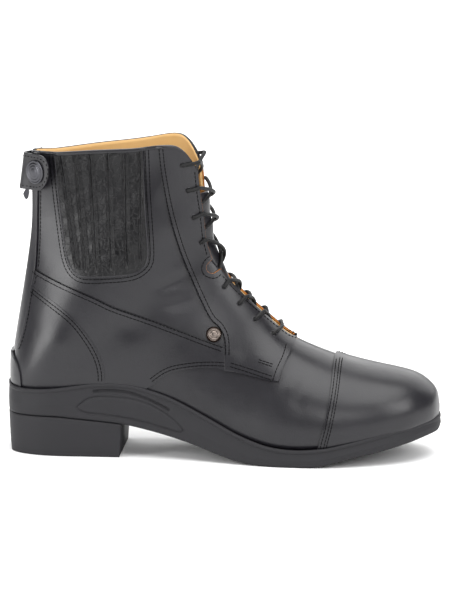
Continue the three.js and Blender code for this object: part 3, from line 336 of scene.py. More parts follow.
@dataclass
class LastForm:
    """The last that every leather piece lies on, as a fine grid of points with its normals.

    u runs over the stations from the toe to above the collar, v once round each section: 0 at the bottom or
    back, a quarter on the outer side, a half at the front ridge, and on over the inner side.
    """

    rows: int = 221
    sides: int = 288
    points: np.ndarray = field(init=False)
    normals: np.ndarray = field(init=False)
    tree: BVHTree = field(init=False)

    def __post_init__(self) -> None:
        """Works out the grid, its normals and the tree that rays are cast at."""
        places = np.linspace(0, len(STATIONS) - 1, self.rows)
        columns = natural_spline(np.array(STATIONS, dtype=float), places)
        rings = [self.section(row, i == 0) for i, row in enumerate(columns)]
        self.points = np.array(rings)
        lift = self.points[:, :, 2] - seat(self.points[:, :, 0])
        share = np.clip(1.6 - 2 * lift / SHAFT_HEIGHT, 0, 1)
        self.points[:, :, 1] += swing(self.points[:, :, 0]) * share
        self.normals = self.outward()
        self.points += self.normals * self.creases()[..., None]
        self.normals = self.outward()
        flat = [Vector(p) for p in self.points.reshape(-1, 3)]
        faces = [(i * self.sides + j, i * self.sides + (j + 1) % self.sides,
                  (i + 1) * self.sides + (j + 1) % self.sides, (i + 1) * self.sides + j)
                 for i in range(self.rows - 1) for j in range(self.sides)]
        self.tree = BVHTree.FromPolygons(flat, faces)

    def outward(self) -> np.ndarray:
        """Outward directions at the grid's points, evened out a little."""
        across = np.roll(self.points, -1, axis=1) - np.roll(self.points, 1, axis=1)
        onward = np.gradient(self.points, axis=0)
        normal = unit_rows(np.cross(across, onward))
        normal[0] = normal[1]
        for _ in range(3):
            normal = unit_rows(normal + 0.5 * (np.roll(normal, 1, axis=1) + np.roll(normal, -1, axis=1)))
        middle = self.points.mean(axis=1, keepdims=True)
        return -normal if np.sum(normal * (self.points - middle)) < 0 else normal

    def creases(self) -> np.ndarray:
        """Height of the soft creases at the grid's points."""
        x, z = self.points[..., 0], self.points[..., 2]
        total = np.zeros_like(x)
        for x0, z0, x1, z1, height, half in CREASES:
            dx, dz = x1 - x0, z1 - z0
            share = ((x - x0) * dx + (z - z0) * dz) / (dx * dx + dz * dz)
            bow = 0.08 * math.hypot(dx, dz) * np.sin(math.pi * np.clip(share, 0, 1))
            off = ((x - x0) * dz - (z - z0) * dx) / math.hypot(dx, dz) - bow
            end = np.clip(1 - np.abs(2 * share - 1), 0, 1)
            total += height * np.exp(-(off / half) ** 2) * ease(end)
        return total

    def section(self, row: np.ndarray, pointed: bool) -> np.ndarray:
        """One closed section, evenly spaced round its length.

        Args:
            row: the station's shares, widths and powers.
            pointed: whether this is the tip, where the section is a line.

        Returns:
            A row of x, y, z for each side, from the bottom or back over the outer side.
        """
        front_x, front_z, back_x, back_z, ball, heel, collar, widest, front_power, back_power = row
        front = np.array([along(front_x), SOLE_THICKNESS + front_z * SHAFT_HEIGHT])
        back_at = along(back_x)
        back = np.array([back_at, float(seat(back_at)) + max(0.0, back_z) * SHAFT_HEIGHT])
        axis = front - back
        height = float(np.linalg.norm(axis))
        axis /= height
        width = 0.0 if pointed else ball * BALL_WIDTH + heel * HEEL_WIDTH + collar * COLLAR_WIDTH
        half = 0.5 * max(0.0, width)
        fold = min(BACK_RADIUS, 0.4 * half, 0.4 * height)
        angle = np.linspace(0, math.pi, 721)
        c, s = np.cos(angle), np.clip(np.sin(angle), 0, 1)
        reach = np.where(c > 0, widest * height - fold, (1 - widest) * height - fold)
        power = np.where(c > 0, back_power, front_power)
        core = np.stack([-np.sign(c) * reach * np.abs(c) ** (2 / power),
                         (half - fold) * s ** (2 / power)], axis=1)
        tangent = unit_rows(np.gradient(core, axis=0))
        out = np.stack([-tangent[:, 1], tangent[:, 0]], axis=1)
        out[0], out[-1] = (-1, 0), (1, 0)
        edge = core + fold * out
        run = run_length(edge)
        place = read_rows(np.linspace(0, run[-1], self.sides // 2 + 1), run, edge)
        place[0, 1] = place[-1, 1] = 0
        on_axis = back + (widest * height + place[:, :1]) * axis
        outer = np.stack([on_axis[:, 0], -place[:, 1], on_axis[:, 1]], axis=1)
        inner = outer[1:-1][::-1] * (1, -1, 1)
        return np.concatenate([outer, inner])

    def read(self, grid: np.ndarray, u: np.ndarray, v: np.ndarray) -> np.ndarray:
        """Smooth reading of a grid quantity between its points.

        Args:
            grid: points or normals.
            u: places over the stations, from 0 to 1.
            v: places round the section, in turns.

        Returns:
            A row for each u and v.
        """
        fu = np.clip(np.asarray(u, dtype=float), 0, 1) * (self.rows - 1)
        fv = np.asarray(v, dtype=float) * self.sides
        iu = np.clip(np.floor(fu).astype(int), 0, self.rows - 2)
        iv = np.floor(fv).astype(int)
        total = np.zeros(fu.shape + (3,))
        weights = []
        for part in (fu - iu, fv - iv):
            t2, t3 = part * part, part * part * part
            weights.append((-0.5 * part + t2 - 0.5 * t3, 1 - 2.5 * t2 + 1.5 * t3,
                            0.5 * part + 2 * t2 - 1.5 * t3, -0.5 * t2 + 0.5 * t3))
        for a in range(4):
            row = np.clip(iu + a - 1, 0, self.rows - 1)
            for b in range(4):
                column = (iv + b - 1) % self.sides
                total += (weights[0][a] * weights[1][b])[..., None] * grid[row, column]
        return total

    def at(self, u: np.ndarray, v: np.ndarray, height: np.ndarray | float = 0.0) -> np.ndarray:
        """Points above the last.

        Args:
            u: places over the stations.
            v: places round the sections.
            height: distance from the last, outwards.

        Returns:
            A row of x, y, z for each.
        """
        normal = unit_rows(self.read(self.normals, u, v))
        return self.read(self.points, u, v) + normal * np.asarray(height)[..., None]

    def normal(self, u: float, v: float) -> Vector:
        """Outward direction at one place."""
        return Vector(self.read(self.normals, np.array([u]), np.array([v]))[0]).normalized()

    def stretch(self, u: float, v: float) -> tuple[float, float]:
        """Millimetres for a whole turn of u and of v at a place."""
        step = 1e-3
        near = self.at(u + np.array([0, step, 0]), v + np.array([0, 0, step]))
        per_u, per_v = (float(np.linalg.norm(near[k] - near[0])) / step for k in (1, 2))
        return per_u, per_v

    def meet(self, places: np.ndarray, axes: tuple[int, int], origin: Callable[[np.ndarray], Vector],
             direction: Vector) -> np.ndarray:
        """u and v where straight lines of sight meet the last.

        Args:
            places: the two coordinates of each line.
            axes: which coordinates those are.
            origin: gives a line's start, outside the last.
            direction: the lines' direction.

        Returns:
            A row of u and v for each line.
        """
        found = []
        for place in places:
            start = origin(place)
            index = self.tree.ray_cast(start, direction)[2]
            if index is None:
                index = self.tree.find_nearest(start + direction * 170)[2]
            row, column = divmod(index, self.sides)
            found.append(((row + 0.5) / (self.rows - 1), (column + 0.5) / self.sides))
        uv = np.array(found)
        step = 1e-4
        for _ in range(5):
            here = self.read(self.points, uv[:, 0], uv[:, 1])[:, list(axes)]
            du = (self.read(self.points, uv[:, 0] + step, uv[:, 1])[:, list(axes)] - here) / step
            dv = (self.read(self.points, uv[:, 0], uv[:, 1] + step)[:, list(axes)] - here) / step
            miss = places - here
            area = du[:, 0] * dv[:, 1] - du[:, 1] * dv[:, 0]
            area = np.where(np.abs(area) < 1.0, np.where(area < 0, -1.0, 1.0), area)
            move = np.stack([(miss[:, 0] * dv[:, 1] - miss[:, 1] * dv[:, 0]) / area,
                             (du[:, 0] * miss[:, 1] - du[:, 1] * miss[:, 0]) / area], axis=1)
            uv = uv + np.clip(move, -0.01, 0.01)
        return uv

    def on_side(self, places: np.ndarray, side: Side) -> np.ndarray:
        """u and v of places given in side view as x and z."""
        sign = side.value
        return self.meet(np.asarray(places, dtype=float), (0, 2),
                         lambda p: Vector((p[0], sign * 200, p[1])), Vector((0, -sign, 0)))

    def on_front(self, places: np.ndarray) -> np.ndarray:
        """u and v of places given in front view as y and z."""
        return self.meet(np.asarray(places, dtype=float), (1, 2), lambda p: Vector((300, p[0], p[1])),
                         Vector((-1, 0, 0)))

    def on_back(self, places: np.ndarray) -> np.ndarray:
        """u and v of places given in back view as y and z."""
        uv = self.meet(np.asarray(places, dtype=float), (1, 2), lambda p: Vector((-200, p[0], p[1])),
                       Vector((1, 0, 0)))
        uv[:, 1] = np.where(uv[:, 1] > 0.5, uv[:, 1] - 1, uv[:, 1])
        return uv


def throat_half(z: float) -> float:
    """Half the gap between the facings at a height."""
    rows = ((THROAT_FOOT - 0.4, 0.2), (THROAT_FOOT, 3.0), (79.0, 5.2), (80.5, 6.4), (121, 11.5), (133, 14.0),
            (150, THROAT_HALF_GAP), (230, THROAT_HALF_GAP))
    return float(np.interp(z, *zip(*rows)))


def linked(name: str, data: bpy.types.ID) -> bpy.types.Object:
    """A new object in the scene around its data."""
    piece = bpy.data.objects.new(name, data)
    bpy.context.scene.collection.objects.link(piece)
    return piece


def to_object(bm: bmesh.types.BMesh, name: str) -> bpy.types.Object:
    """Makes an object of a bmesh that was worked out in millimetres.

    Args:
        bm: the shape; it is freed.
        name: the piece's name.

    Returns:
        The linked object, at the origin, riding on the boot.
    """
    bmesh.ops.scale(bm, vec=(MM, MM, MM), verts=bm.verts)
    mesh = bpy.data.meshes.new(name)
    bm.to_mesh(mesh)
    bm.free()
    mesh.shade_smooth()
    piece = linked(name, mesh)
    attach(piece, "boot")
    return piece


def grid_piece(across: int, down: int, place: Callable[[np.ndarray, np.ndarray], np.ndarray],
               bm: bmesh.types.BMesh | None = None) -> bmesh.types.BMesh:
    """A grid laid where a function says.

    Args:
        across: cells in s.
        down: cells in t.
        place: gives x, y, z for arrays of s and t, each from 0 to 1.
        bm: a bmesh to add the grid to.

    Returns:
        The bmesh with the new grid in it.
    """
    bm = bm or bmesh.new()
    made = bmesh.ops.create_grid(bm, x_segments=across, y_segments=down, size=0.5)["verts"]
    s = np.array([vert.co.x + 0.5 for vert in made])
    t = np.array([vert.co.y + 0.5 for vert in made])
    for vert, co in zip(made, place(np.clip(s, 0, 1), np.clip(t, 0, 1))):
        vert.co = co
    return bm


def sampled(grid: np.ndarray) -> Callable[[np.ndarray, np.ndarray], np.ndarray]:
    """Gives the points of an array, t along its rows and s along its columns."""
    def place(s: np.ndarray, t: np.ndarray) -> np.ndarray:
        """The array's point at each s and t."""
        i = np.round(t * (grid.shape[0] - 1)).astype(int)
        j = np.round(s * (grid.shape[1] - 1)).astype(int)
        return grid[i, j]

    return place


def face_outwards(bm: bmesh.types.BMesh, form: LastForm) -> None:
    """Turns an open sheet's faces away from the last.

    Args:
        bm: the sheet.
        form: the last that it lies on.
    """
    bm.normal_update()
    bm.faces.ensure_lookup_table()
    votes = 0.0
    for face in list(bm.faces)[::max(1, len(bm.faces) // 60)]:
        index = form.tree.find_nearest(face.calc_center_median())[2]
        votes += face.normal.dot(Vector(form.normals[divmod(index, form.sides)]))
    if votes < 0:
        bmesh.ops.reverse_faces(bm, faces=bm.faces)


@dataclass
class Patch:
    """A four-sided field of u and v between boundary lines: t = 0, t = 1, s = 0 and s = 1.

    The bends of the t = 0 and t = 1 lines fade into the field by a power of the distance.
    """

    start_t: np.ndarray
    end_t: np.ndarray
    start_s: np.ndarray
    end_s: np.ndarray
    fade: float = 1.0

    def __call__(self, s: np.ndarray, t: np.ndarray) -> tuple[np.ndarray, np.ndarray]:
        """u and v inside the patch.

        Args:
            s: places along the start_t and end_t lines.
            t: places along the start_s and end_s lines.

        Returns:
            u and v arrays.
        """
        low, high = (read_rows(s, np.linspace(0, 1, len(line)), line) for line in (self.start_t, self.end_t))
        left, right = (read_rows(t, np.linspace(0, 1, len(line)), line)
                       for line in (self.start_s, self.end_s))
        s_, t_ = s[..., None], t[..., None]
        low_bend = low - (1 - s_) * self.start_t[0] - s_ * self.start_t[-1]
        high_bend = high - (1 - s_) * self.end_t[0] - s_ * self.end_t[-1]
        uv = (1 - s_) * left + s_ * right + (1 - t_) ** self.fade * low_bend + t_ ** self.fade * high_bend
        return uv[..., 0], uv[..., 1]


def solid_sheet(piece: bpy.types.Object, thickness: float, bevel: float, lining: int = 0) -> None:
    """Gives a sheet its thickness, inwards, and softens its edges.

    Args:
        piece: the sheet, faces outwards.
        thickness: leather thickness in millimetres.
        bevel: width of the softened edge in millimetres.
        lining: material slot of the inner face, after the outer one.
    """
    wall = piece.modifiers.new("wall", "SOLIDIFY")
    wall.thickness = thickness * MM
    wall.offset = -1
    wall.material_offset = lining
    if bevel > 0:
        edge = piece.modifiers.new("edge", "BEVEL")
        edge.width = bevel * MM
        edge.segments = 2
        edge.limit_method = "ANGLE"
        edge.angle_limit = math.radians(50)


def laid_sheet(name: str, form: LastForm, cells: tuple[int, int], place: Callable, thickness: float,
               bevel: float, lining: int = 0) -> bpy.types.Object:
    """Makes a sheet of leather on the last.

    Args:
        name: the piece's name.
        form: the last.
        cells: cells in s and t.
        place: gives the points of its outer face for s and t.
        thickness: leather thickness in millimetres.
        bevel: width of the softened edge in millimetres.
        lining: material slot of the inner face, after the outer one.

    Returns:
        The piece.
    """
    bm = grid_piece(*cells, place)
    face_outwards(bm, form)
    piece = to_object(bm, name)
    solid_sheet(piece, thickness, bevel, lining)
    return piece


def turned_piece(profile: Pairs, at: Vector, direction: Vector, steps: int) -> bmesh.types.BMesh:
    """A round solid spun about a line.

    Args:
        profile: radius and height rows, from one end of the axis to the other.
        at: foot of the axis.
        direction: where the axis points.
        steps: faces round it.

    Returns:
        The closed bmesh.
    """
    bm = bmesh.new()
    verts = [bm.verts.new((r, 0, h)) for r, h in profile]
    edges = [bm.edges.new(pair) for pair in zip(verts, verts[1:])]
    bmesh.ops.spin(bm, geom=verts + edges, cent=(0, 0, 0), axis=(0, 0, 1), angle=2 * math.pi, steps=steps,
                   use_merge=True, use_normal_flip=True)
    bmesh.ops.remove_doubles(bm, verts=bm.verts, dist=1e-4)
    bmesh.ops.recalc_face_normals(bm, faces=bm.faces)
    turn = Vector((0, 0, 1)).rotation_difference(direction).to_matrix().to_4x4()
    bmesh.ops.transform(bm, matrix=Matrix.Translation(at) @ turn, verts=bm.verts)
    return bm


def tube_piece(path: np.ndarray, radius: float, sides: int = 14,
               bm: bmesh.types.BMesh | None = None) -> bmesh.types.BMesh:
    """A round cord along a path, with rounded ends.

    Args:
        path: rows of x, y, z at small even steps.
        radius: cord radius.
        sides: faces round it.
        bm: a bmesh to add it to.

    Returns:
        The bmesh.
    """
    tangent = unit_rows(np.gradient(path, axis=0))
    side = np.cross(tangent[0], (0.31, 0.2, 0.93))
    frames = []
    for direction in tangent:
        side = side - direction * np.dot(side, direction)
        side /= np.linalg.norm(side)
        frames.append((side.copy(), np.cross(direction, side)))
    first, second = (np.array([f[k] for f in frames]) for k in (0, 1))
    reach = run_length(path)
    total = reach[-1]
    rows = len(path) * 2
    tip = np.array([0, 0.12, 0.35, 0.7])
    steps = np.concatenate([tip, np.linspace(1, rows - 1, rows - 1), rows - tip[::-1]])
    steps = np.unique(steps) / rows * total

    def place(s: np.ndarray, t: np.ndarray) -> np.ndarray:
        """Points of the tube's skin."""
        along_it = np.interp(t * (len(steps) - 1), np.arange(len(steps)), steps)
        end = np.minimum(along_it, total - along_it)
        thick = radius * np.sqrt(np.clip(1 - np.clip(1 - end / (0.7 * radius), 0, 1) ** 2, 0.0, 1))
        angle = 2 * math.pi * s
        centre, one, other = (read_rows(along_it, reach, grid) for grid in (path, first, second))
        return centre + one * (thick * np.cos(angle))[:, None] + other * (thick * np.sin(angle))[:, None]

    fresh = bmesh.new()
    grid_piece(sides, len(steps) - 1, place, fresh)
    bmesh.ops.remove_doubles(fresh, verts=fresh.verts, dist=1e-3)
    bmesh.ops.recalc_face_normals(fresh, faces=fresh.faces)
    if bm is None:
        return fresh
    joined = bpy.data.meshes.new("joined")
    fresh.to_mesh(joined)
    fresh.free()
    bm.from_mesh(joined)
    bpy.data.meshes.remove(joined)
    return bm


def curve_through(points: Sequence[Vector], step: float = 0.8) -> np.ndarray:
    """Evenly stepped smooth curve through points.

    Args:
        points: the points.
        step: length between samples in millimetres.

    Returns:
        Rows of x, y, z.
    """
    given = np.array([tuple(p) for p in points])
    rough = smooth_line(given, 60)
    return smooth_line(given, max(6, int(run_length(rough)[-1] / step)))


def join_arrays(name: str, seed: bmesh.types.BMesh,
                frames: list[tuple[np.ndarray, np.ndarray]]) -> bpy.types.Object:
    """One mesh of many copies of a small solid.

    Args:
        name: the piece's name.
        seed: the small solid, in millimetres; it is freed.
        frames: for each copy its 3 by 3 axes, in columns, and its place.

    Returns:
        The linked object, riding on the boot.
    """
    seed.verts.ensure_lookup_table()
    corners = np.array([vert.co for vert in seed.verts])
    faces = [[vert.index for vert in face.verts] for face in seed.faces]
    seed.free()
    points, polygons = [], []
    for i, (axes, place) in enumerate(frames):
        points.append(corners @ axes.T + place)
        polygons += [[k + i * len(corners) for k in face] for face in faces]
    mesh = bpy.data.meshes.new(name)
    mesh.from_pydata((np.concatenate(points) * MM).tolist(), [], polygons)
    mesh.shade_smooth()
    piece = linked(name, mesh)
    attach(piece, "boot")
    return piece


@dataclass
class Seams:
    """Rows of thread stitches on the leather.

    Each stitch is a short thread sunk at both ends in the leather.
    """

    form: LastForm
    pitch: float = 2.5
    length: float = 1.6
    thread: float = 0.42
    sink: float = 0.22
    # Radius of the painted shade disc at each end of a stitch
    hole: float = 0.32

    def frames_along(self, uv: np.ndarray, height: float) -> list[tuple[np.ndarray, np.ndarray]]:
        """Axes and places of the stitches on one line.

        Args:
            uv: the line on the last.
            height: height of the leather there.

        Returns:
            A frame for each stitch.
        """
        points = self.form.at(uv[:, 0], uv[:, 1], height)
        reach = run_length(points)
        count = max(1, int(reach[-1] / self.pitch))
        goal = (np.arange(count) + 0.5) * reach[-1] / count
        (u, v), ahead, behind = (read_rows(goal + step, reach, uv).T for step in (0.0, 0.4, -0.4))
        places = self.form.at(u, v, height)
        tangents = self.form.at(*ahead, height) - self.form.at(*behind, height)
        normals = self.form.read(self.form.normals, u, v)
        frames = []
        for place, tangent, normal in zip(places, tangents, normals):
            tangent = unit_rows(tangent)
            normal = unit_rows(normal - tangent * np.dot(normal, tangent))
            frames.append((np.stack([tangent, np.cross(normal, tangent), normal], axis=1), place))
        return frames

    def line(self, points: Pairs, side: Side, height: float, offsets: Sequence[float] = (0.0,)) -> list:
        """Frames of one or more rows beside a side-view line.

        Args:
            points: x and z of the line.
            side: side of the boot.
            height: height of the leather.
            offsets: distance of each row from the line, to its left going along.

        Returns:
            The stitches' frames.
        """
        course = smooth_line(points, 90)
        run = unit_rows(np.gradient(course, axis=0))
        frames = []
        for offset in offsets:
            beside = course + offset * np.stack([-run[:, 1], run[:, 0]], axis=1)
            frames += self.frames_along(self.form.on_side(beside, side), height)
        return frames

    def seed(self) -> bmesh.types.BMesh:
        """The shape of one stitch."""
        bm = bmesh.new()
        bmesh.ops.create_uvsphere(bm, u_segments=6, v_segments=5, radius=1)
        for vert in bm.verts:
            x, y, z = vert.co
            vert.co = (x * self.length / 2, y * self.thread * 0.9, z * self.thread - self.sink * x * x)
        return bm

    def build(self, name: str, frames: list) -> bpy.types.Object:
        """The joined stitches of one group of seams."""
        return join_arrays(name, self.seed(), frames)

    def holes(self, name: str, frames: list) -> bpy.types.Object:
        """Painted shade of the needle piercings: flat near-black matt discs at both ends of each stitch."""
        bm = bmesh.new()
        bmesh.ops.create_circle(bm, cap_ends=True, segments=6, radius=self.hole)
        ends = [(axes, place + axes[:, 0] * share * self.length + axes[:, 2] * 0.05)
                for axes, place in frames for share in (-0.5, 0.5)]
        return join_arrays(name, bm, ends)


@dataclass
class LeatherPanels:
    """The cut leather pieces, each laid on the last between its pattern lines."""

    form: LastForm
    panel: float = 1.4
    facing: float = FACING_LIFT
    counter: float = 1.7
    strip: float = 1.5
    cap: float = 1.6
    spur: float = 2.7
    valley: float = 0.9
    fold: float = 1.35
    notch: float = 4.2

    def side_line(self, points: Pairs, side: Side, count: int = 60) -> np.ndarray:
        """u and v along a smooth side-view line."""
        return self.form.on_side(smooth_line(points, count), side)

    def throat_edge(self, side: Side, notched: bool = True, count: int = 330) -> np.ndarray:
        """u and v of the throat's edge from the collar to its foot.

        Args:
            side: side of the boot.
            notched: whether it goes round the flex notch, as the facing's edge does.
            count: points, which lie closer together in the notch.

        Returns:
            A row for each point.
        """
        sign = side.value
        _, high = self.collar_end(side)
        heights = np.linspace(high, THROAT_FOOT, 200)
        line = self.form.on_front(np.array([(sign * throat_half(z), z) for z in heights]))
        centre = self.form.on_side(np.array([NOTCH_PLACE]), side)[0]
        per_u, per_v = self.form.stretch(*centre)
        reach = self.notch / per_u
        fine = np.linspace(line[0, 0], line[-1, 0], 4000)
        weight = 1 + 7 * np.exp(-((fine - centre[0]) / (1.2 * reach)) ** 4)
        run = np.concatenate([[0], np.cumsum(weight[1:])])
        u = np.interp(np.linspace(0, run[-1], count), run, fine)
        v = np.interp(-u, -line[:, 0], line[:, 1])
        if not notched:
            return np.stack([u, v], axis=1)
        away = np.abs(u - centre[0]) / reach
        arch = centre[1] + sign * np.sqrt(np.clip(1 - away ** 2, 0, 1)) * self.notch / per_v
        blend = ease(np.clip((1.16 - away) / 0.2, 0, 1))
        return np.stack([u, v + (arch - v) * blend], axis=1)

    @staticmethod
    def paired(line: np.ndarray, guide: np.ndarray, level: Sequence[float] = ()) -> np.ndarray:
        """A line read again so that it passes its stretch of u as the guide passes its own.

        Args:
            line: u and v rows, u rising or falling all the way.
            guide: the line on the other side of the patch.
            level: u of places where both lines are read at the same u.

        Returns:
            As many rows as the guide has.
        """
        knots = np.array([(guide[0, 0], line[0, 0]), *((u, u) for u in level), (guide[-1, 0], line[-1, 0])])
        knots = knots[np.argsort(knots[:, 0])]
        goal = np.interp(guide[:, 0], knots[:, 0], knots[:, 1])
        own = line[np.argsort(line[:, 0])]
        return read_rows(goal, own[:, 0], own)

    def collar_end(self, side: Side) -> tuple[float, float]:
        """Side-view place where the collar line meets the throat's edge."""
        line = smooth_line(COLLAR_LINE, 400)
        for x, z in line[line[:, 0] > 80]:
            uv = self.form.on_front(np.array([(side.value * throat_half(z), z)]))
            if self.form.at(uv[:, 0], uv[:, 1])[0][0] <= x:
                return float(x), float(z)
        return 91.5, 192.0

    def collar_part(self, x0: float, x1: float, side: Side, count: int = 60) -> np.ndarray:
        """u and v along the collar between two places along the boot."""
        line = smooth_line(COLLAR_LINE, 500)
        reach = run_length(line)
        ends = [np.interp(x, line[:, 0], reach) for x in (x0, x1)]
        return self.form.on_side(read_rows(np.linspace(*ends, count), reach, line), side)

    def lay(self, name: str, patch: Patch, cells: tuple[int, int], height: float | Callable,
            thickness: float, edge: float = 0.4, side: Side | None = None) -> bpy.types.Object:
        """Lays one panel.

        Args:
            name: the piece's name.
            patch: its field on the last.
            cells: cells in s and t.
            height: outer face above the last, or a function of s, t, x and z.
            thickness: leather thickness.
            edge: width of the softened edge.
            side: the side for a patch given by x and z in side view.

        Returns:
            The panel.
        """
        def place(s: np.ndarray, t: np.ndarray) -> np.ndarray:
            """Points of the panel's outer face."""
            u, v = patch(s, t)
            if side is not None:
                u, v = self.form.on_side(np.stack([u, v], axis=1), side).T
            if callable(height):
                base = self.form.at(u, v)
                return self.form.at(u, v, height(s, t, base[:, 0], base[:, 2]))
            return self.form.at(u, v, height)

        return laid_sheet(name, self.form, cells, place, thickness, edge)

    def facing_panel(self, side: Side) -> bpy.types.Object:
        """Lace facing that runs down into the front corner of the quarter."""
        end_x, _ = self.collar_end(side)
        foot = np.concatenate([smooth_line(QUARTER_FOOT, 40), smooth_line(QUARTER_FRONT, 36)[1:]])
        throat = self.throat_edge(side)
        middle = self.form.on_side(np.array([NOTCH_PLACE]), side)[0, 0]
        back = self.paired(self.side_line(FACING_LINE, side, 160), throat, (middle + 0.045, middle - 0.035))
        patch = Patch(self.collar_part(65.5, end_x, side), self.form.on_side(foot, side), back, throat, 5.0)
        return self.lay(f"facing_{side.word}_leather", patch, (44, 190), self.facing, self.facing + 0.1)

    def quarter_panel(self, side: Side) -> bpy.types.Object:
        """Lower side panel from the facing to the counter."""
        under = [(x - 3.2, z - 2.2) for x, z in COUNTER_LINE[2:-1]]
        parts = ((COUNTER_LINE[0], *under, QUARTER_WAIST[0]), QUARTER_WAIST, QUARTER_LOW[::-1])
        foot = np.concatenate([smooth_line(part, count)[skip:]
                               for part, count, skip in zip(parts, (66, 20, 50), (0, 1, 1))])
        patch = Patch(smooth_line(QUARTER_TOP, 135), foot, np.array([QUARTER_TOP[0], foot[0]]),
                      np.array([QUARTER_TOP[-1], foot[-1]]))
        return self.lay(f"quarter_{side.word}_leather", patch, (120, 40), self.panel, self.panel + 0.1,
                        side=side)

    def counter_panel(self, side: Side) -> bpy.types.Object:
        """Counter over the heel."""
        patch = Patch(self.side_line(COUNTER_LINE[:2], side, 4), self.side_line(COUNTER_FOOT, side, 40),
                      self.side_line(COUNTER_BACK, side, 70), self.side_line(COUNTER_LINE[1:], side, 70))
        return self.lay(f"counter_{side.word}_leather", patch, (40, 60), self.counter, self.counter + 0.1)

    def pleat_lines(self, z: np.ndarray) -> np.ndarray:
        """x of the gusset's back edge, its six valleys and its front edge at each height."""
        low, high = TUCK_HEIGHTS
        share = ((z - low) / (high - low))[:, None]
        feet = np.array(TUCK_FEET)
        valleys = feet + (np.array(TUCK_TOPS) - feet) * share
        rows = [np.array(sorted((b, a) for a, b in line)) for line in (GUSSET_BACK, GUSSET_FRONT)]
        edges = [np.interp(z, row[:, 0], row[:, 1]) for row in rows]
        valleys[:, -1] = np.minimum(valleys[:, -1], edges[1] - 1.0)
        return np.concatenate([edges[0][:, None], valleys, edges[1][:, None]], axis=1)

    def gusset_panel(self, side: Side) -> bpy.types.Object:
        """Pleated gusset let into the shaft: flat bands of soft leather between narrow stitched tucks."""
        breaks = np.array([0, 0.12, 0.27, 0.42, 0.57, 0.72, 0.87, 1.0])
        foot_line = smooth_line(GUSSET_FOOT, 120)
        collar = smooth_line(COLLAR_LINE, 200)

        def place(s: np.ndarray, t: np.ndarray) -> np.ndarray:
            """Points of its outer face."""
            z = 130 + 74 * t
            for _ in range(4):
                lines = self.pleat_lines(z)
                k = np.clip(np.searchsorted(breaks, s, side="right") - 1, 0, 6)
                part = (s - breaks[k]) / (breaks[k + 1] - breaks[k])
                part = part + 0.09 * np.sin(2 * math.pi * part)
                row = np.arange(len(s))
                x = lines[row, k] * (1 - part) + lines[row, k + 1] * part
                low = np.interp(x, foot_line[:, 0], foot_line[:, 1])
                high = np.interp(x, collar[:, 0], collar[:, 1]) - 0.4
                z = low + (high - low) * t
            uv = self.form.on_side(np.stack([x, z], axis=1), side)
            beside = (x[:, None] - lines[:, 1:-1])
            wide = np.where(beside < 0, 0.55, 1.2)
            tucks = np.sum(np.exp(-(beside / wide) ** 2) - 0.5 * np.exp(-((beside + 1.5) / 0.7) ** 2), axis=1)
            calm = ease(np.clip((z - low - 2.0) / 7, 0, 1) * np.clip((high - z) / 2.5, 0, 1))
            sag = 0.14 * np.sin(0.19 * z + 0.21 * x) + 0.1 * np.sin(0.47 * z - 0.33 * x)
            height = self.valley + calm * (self.fold * tucks + sag)
            return self.form.at(uv[:, 0], uv[:, 1], height)

        return laid_sheet(f"gusset_{side.word}_leather", self.form, (190, 90), place, self.valley + 0.1, 0.2)

    def gusset_edge(self, side: Side) -> bpy.types.Object:
        """Turned edge of the shaft leather round the gusset."""
        radius = 0.62
        uv = self.form.on_side(smooth_line(GUSSET_RING, 260), side)
        path = self.form.at(uv[:, 0], uv[:, 1], radius)
        return to_object(tube_piece(path[::2], radius, 10), f"gusset_edge_{side.word}")

    def slot_edge(self, side: Side, heights: np.ndarray, beyond: float = 0.0) -> np.ndarray:
        """u and v of the zip slot's edge, or of a line beside it, at each height."""
        return self.form.on_back(np.array([(side.value * (ZIP_HALF_SLOT + beyond), z) for z in heights]))

    def zip_strip_panel(self, side: Side) -> bpy.types.Object:
        """Leather strip beside the zip at the back."""
        slot = self.slot_edge(side, np.linspace(201.5, 67.4, 90), 0.1)
        outer = self.side_line(STRIP_LINE, side, 90)
        if side is Side.MEDIAL:
            outer[:, 1] -= 1
        top, low = (np.linspace(slot[k], outer[k], 12) for k in (0, -1))
        return self.lay(f"zip_strip_{side.word}_leather", Patch(top, low, slot, outer), (12, 90), self.strip,
                        self.strip + 0.1)

    def wrap_back(self, places: Pairs) -> np.ndarray:
        """u and v of a line from the outer side round the back to the inner side.

        Args:
            places: x and z of its outer half, from the front to the back; the inner half mirrors it.

        Returns:
            60 rows.
        """
        outer, inner = (self.form.on_side(places[:-1], side) for side in Side)
        inner = inner[::-1] - (0, 1)
        z = places[-1][1]
        middle = self.form.on_back(np.array([(-6.0, z), (-3.0, z), (0.01, z), (3.0, z), (6.0, z)]))
        line = np.concatenate([outer, middle, inner])
        reach = run_length(line * (3, 1))
        return read_rows(np.linspace(0, reach[-1], 60), reach, line)

    def spur_rest(self) -> bpy.types.Object:
        """Ledge of stacked leather at the back of the heel."""
        top = self.wrap_back((SPUR_EDGE[0], (-32.6, 65.2), (0, 66.4)))
        low = self.wrap_back((SPUR_EDGE[-1], (-29, 40), (0, 40)))
        left, right = (self.side_line(SPUR_EDGE, side, 30) for side in Side)
        return self.lay("spur_rest_leather", Patch(top, low, left, right - (0, 1)), (56, 26),
                        lambda s, t, x, z: self.spur + 0.5 * np.clip((z - 54) / 10, 0, 1), 2.4, 0.6)

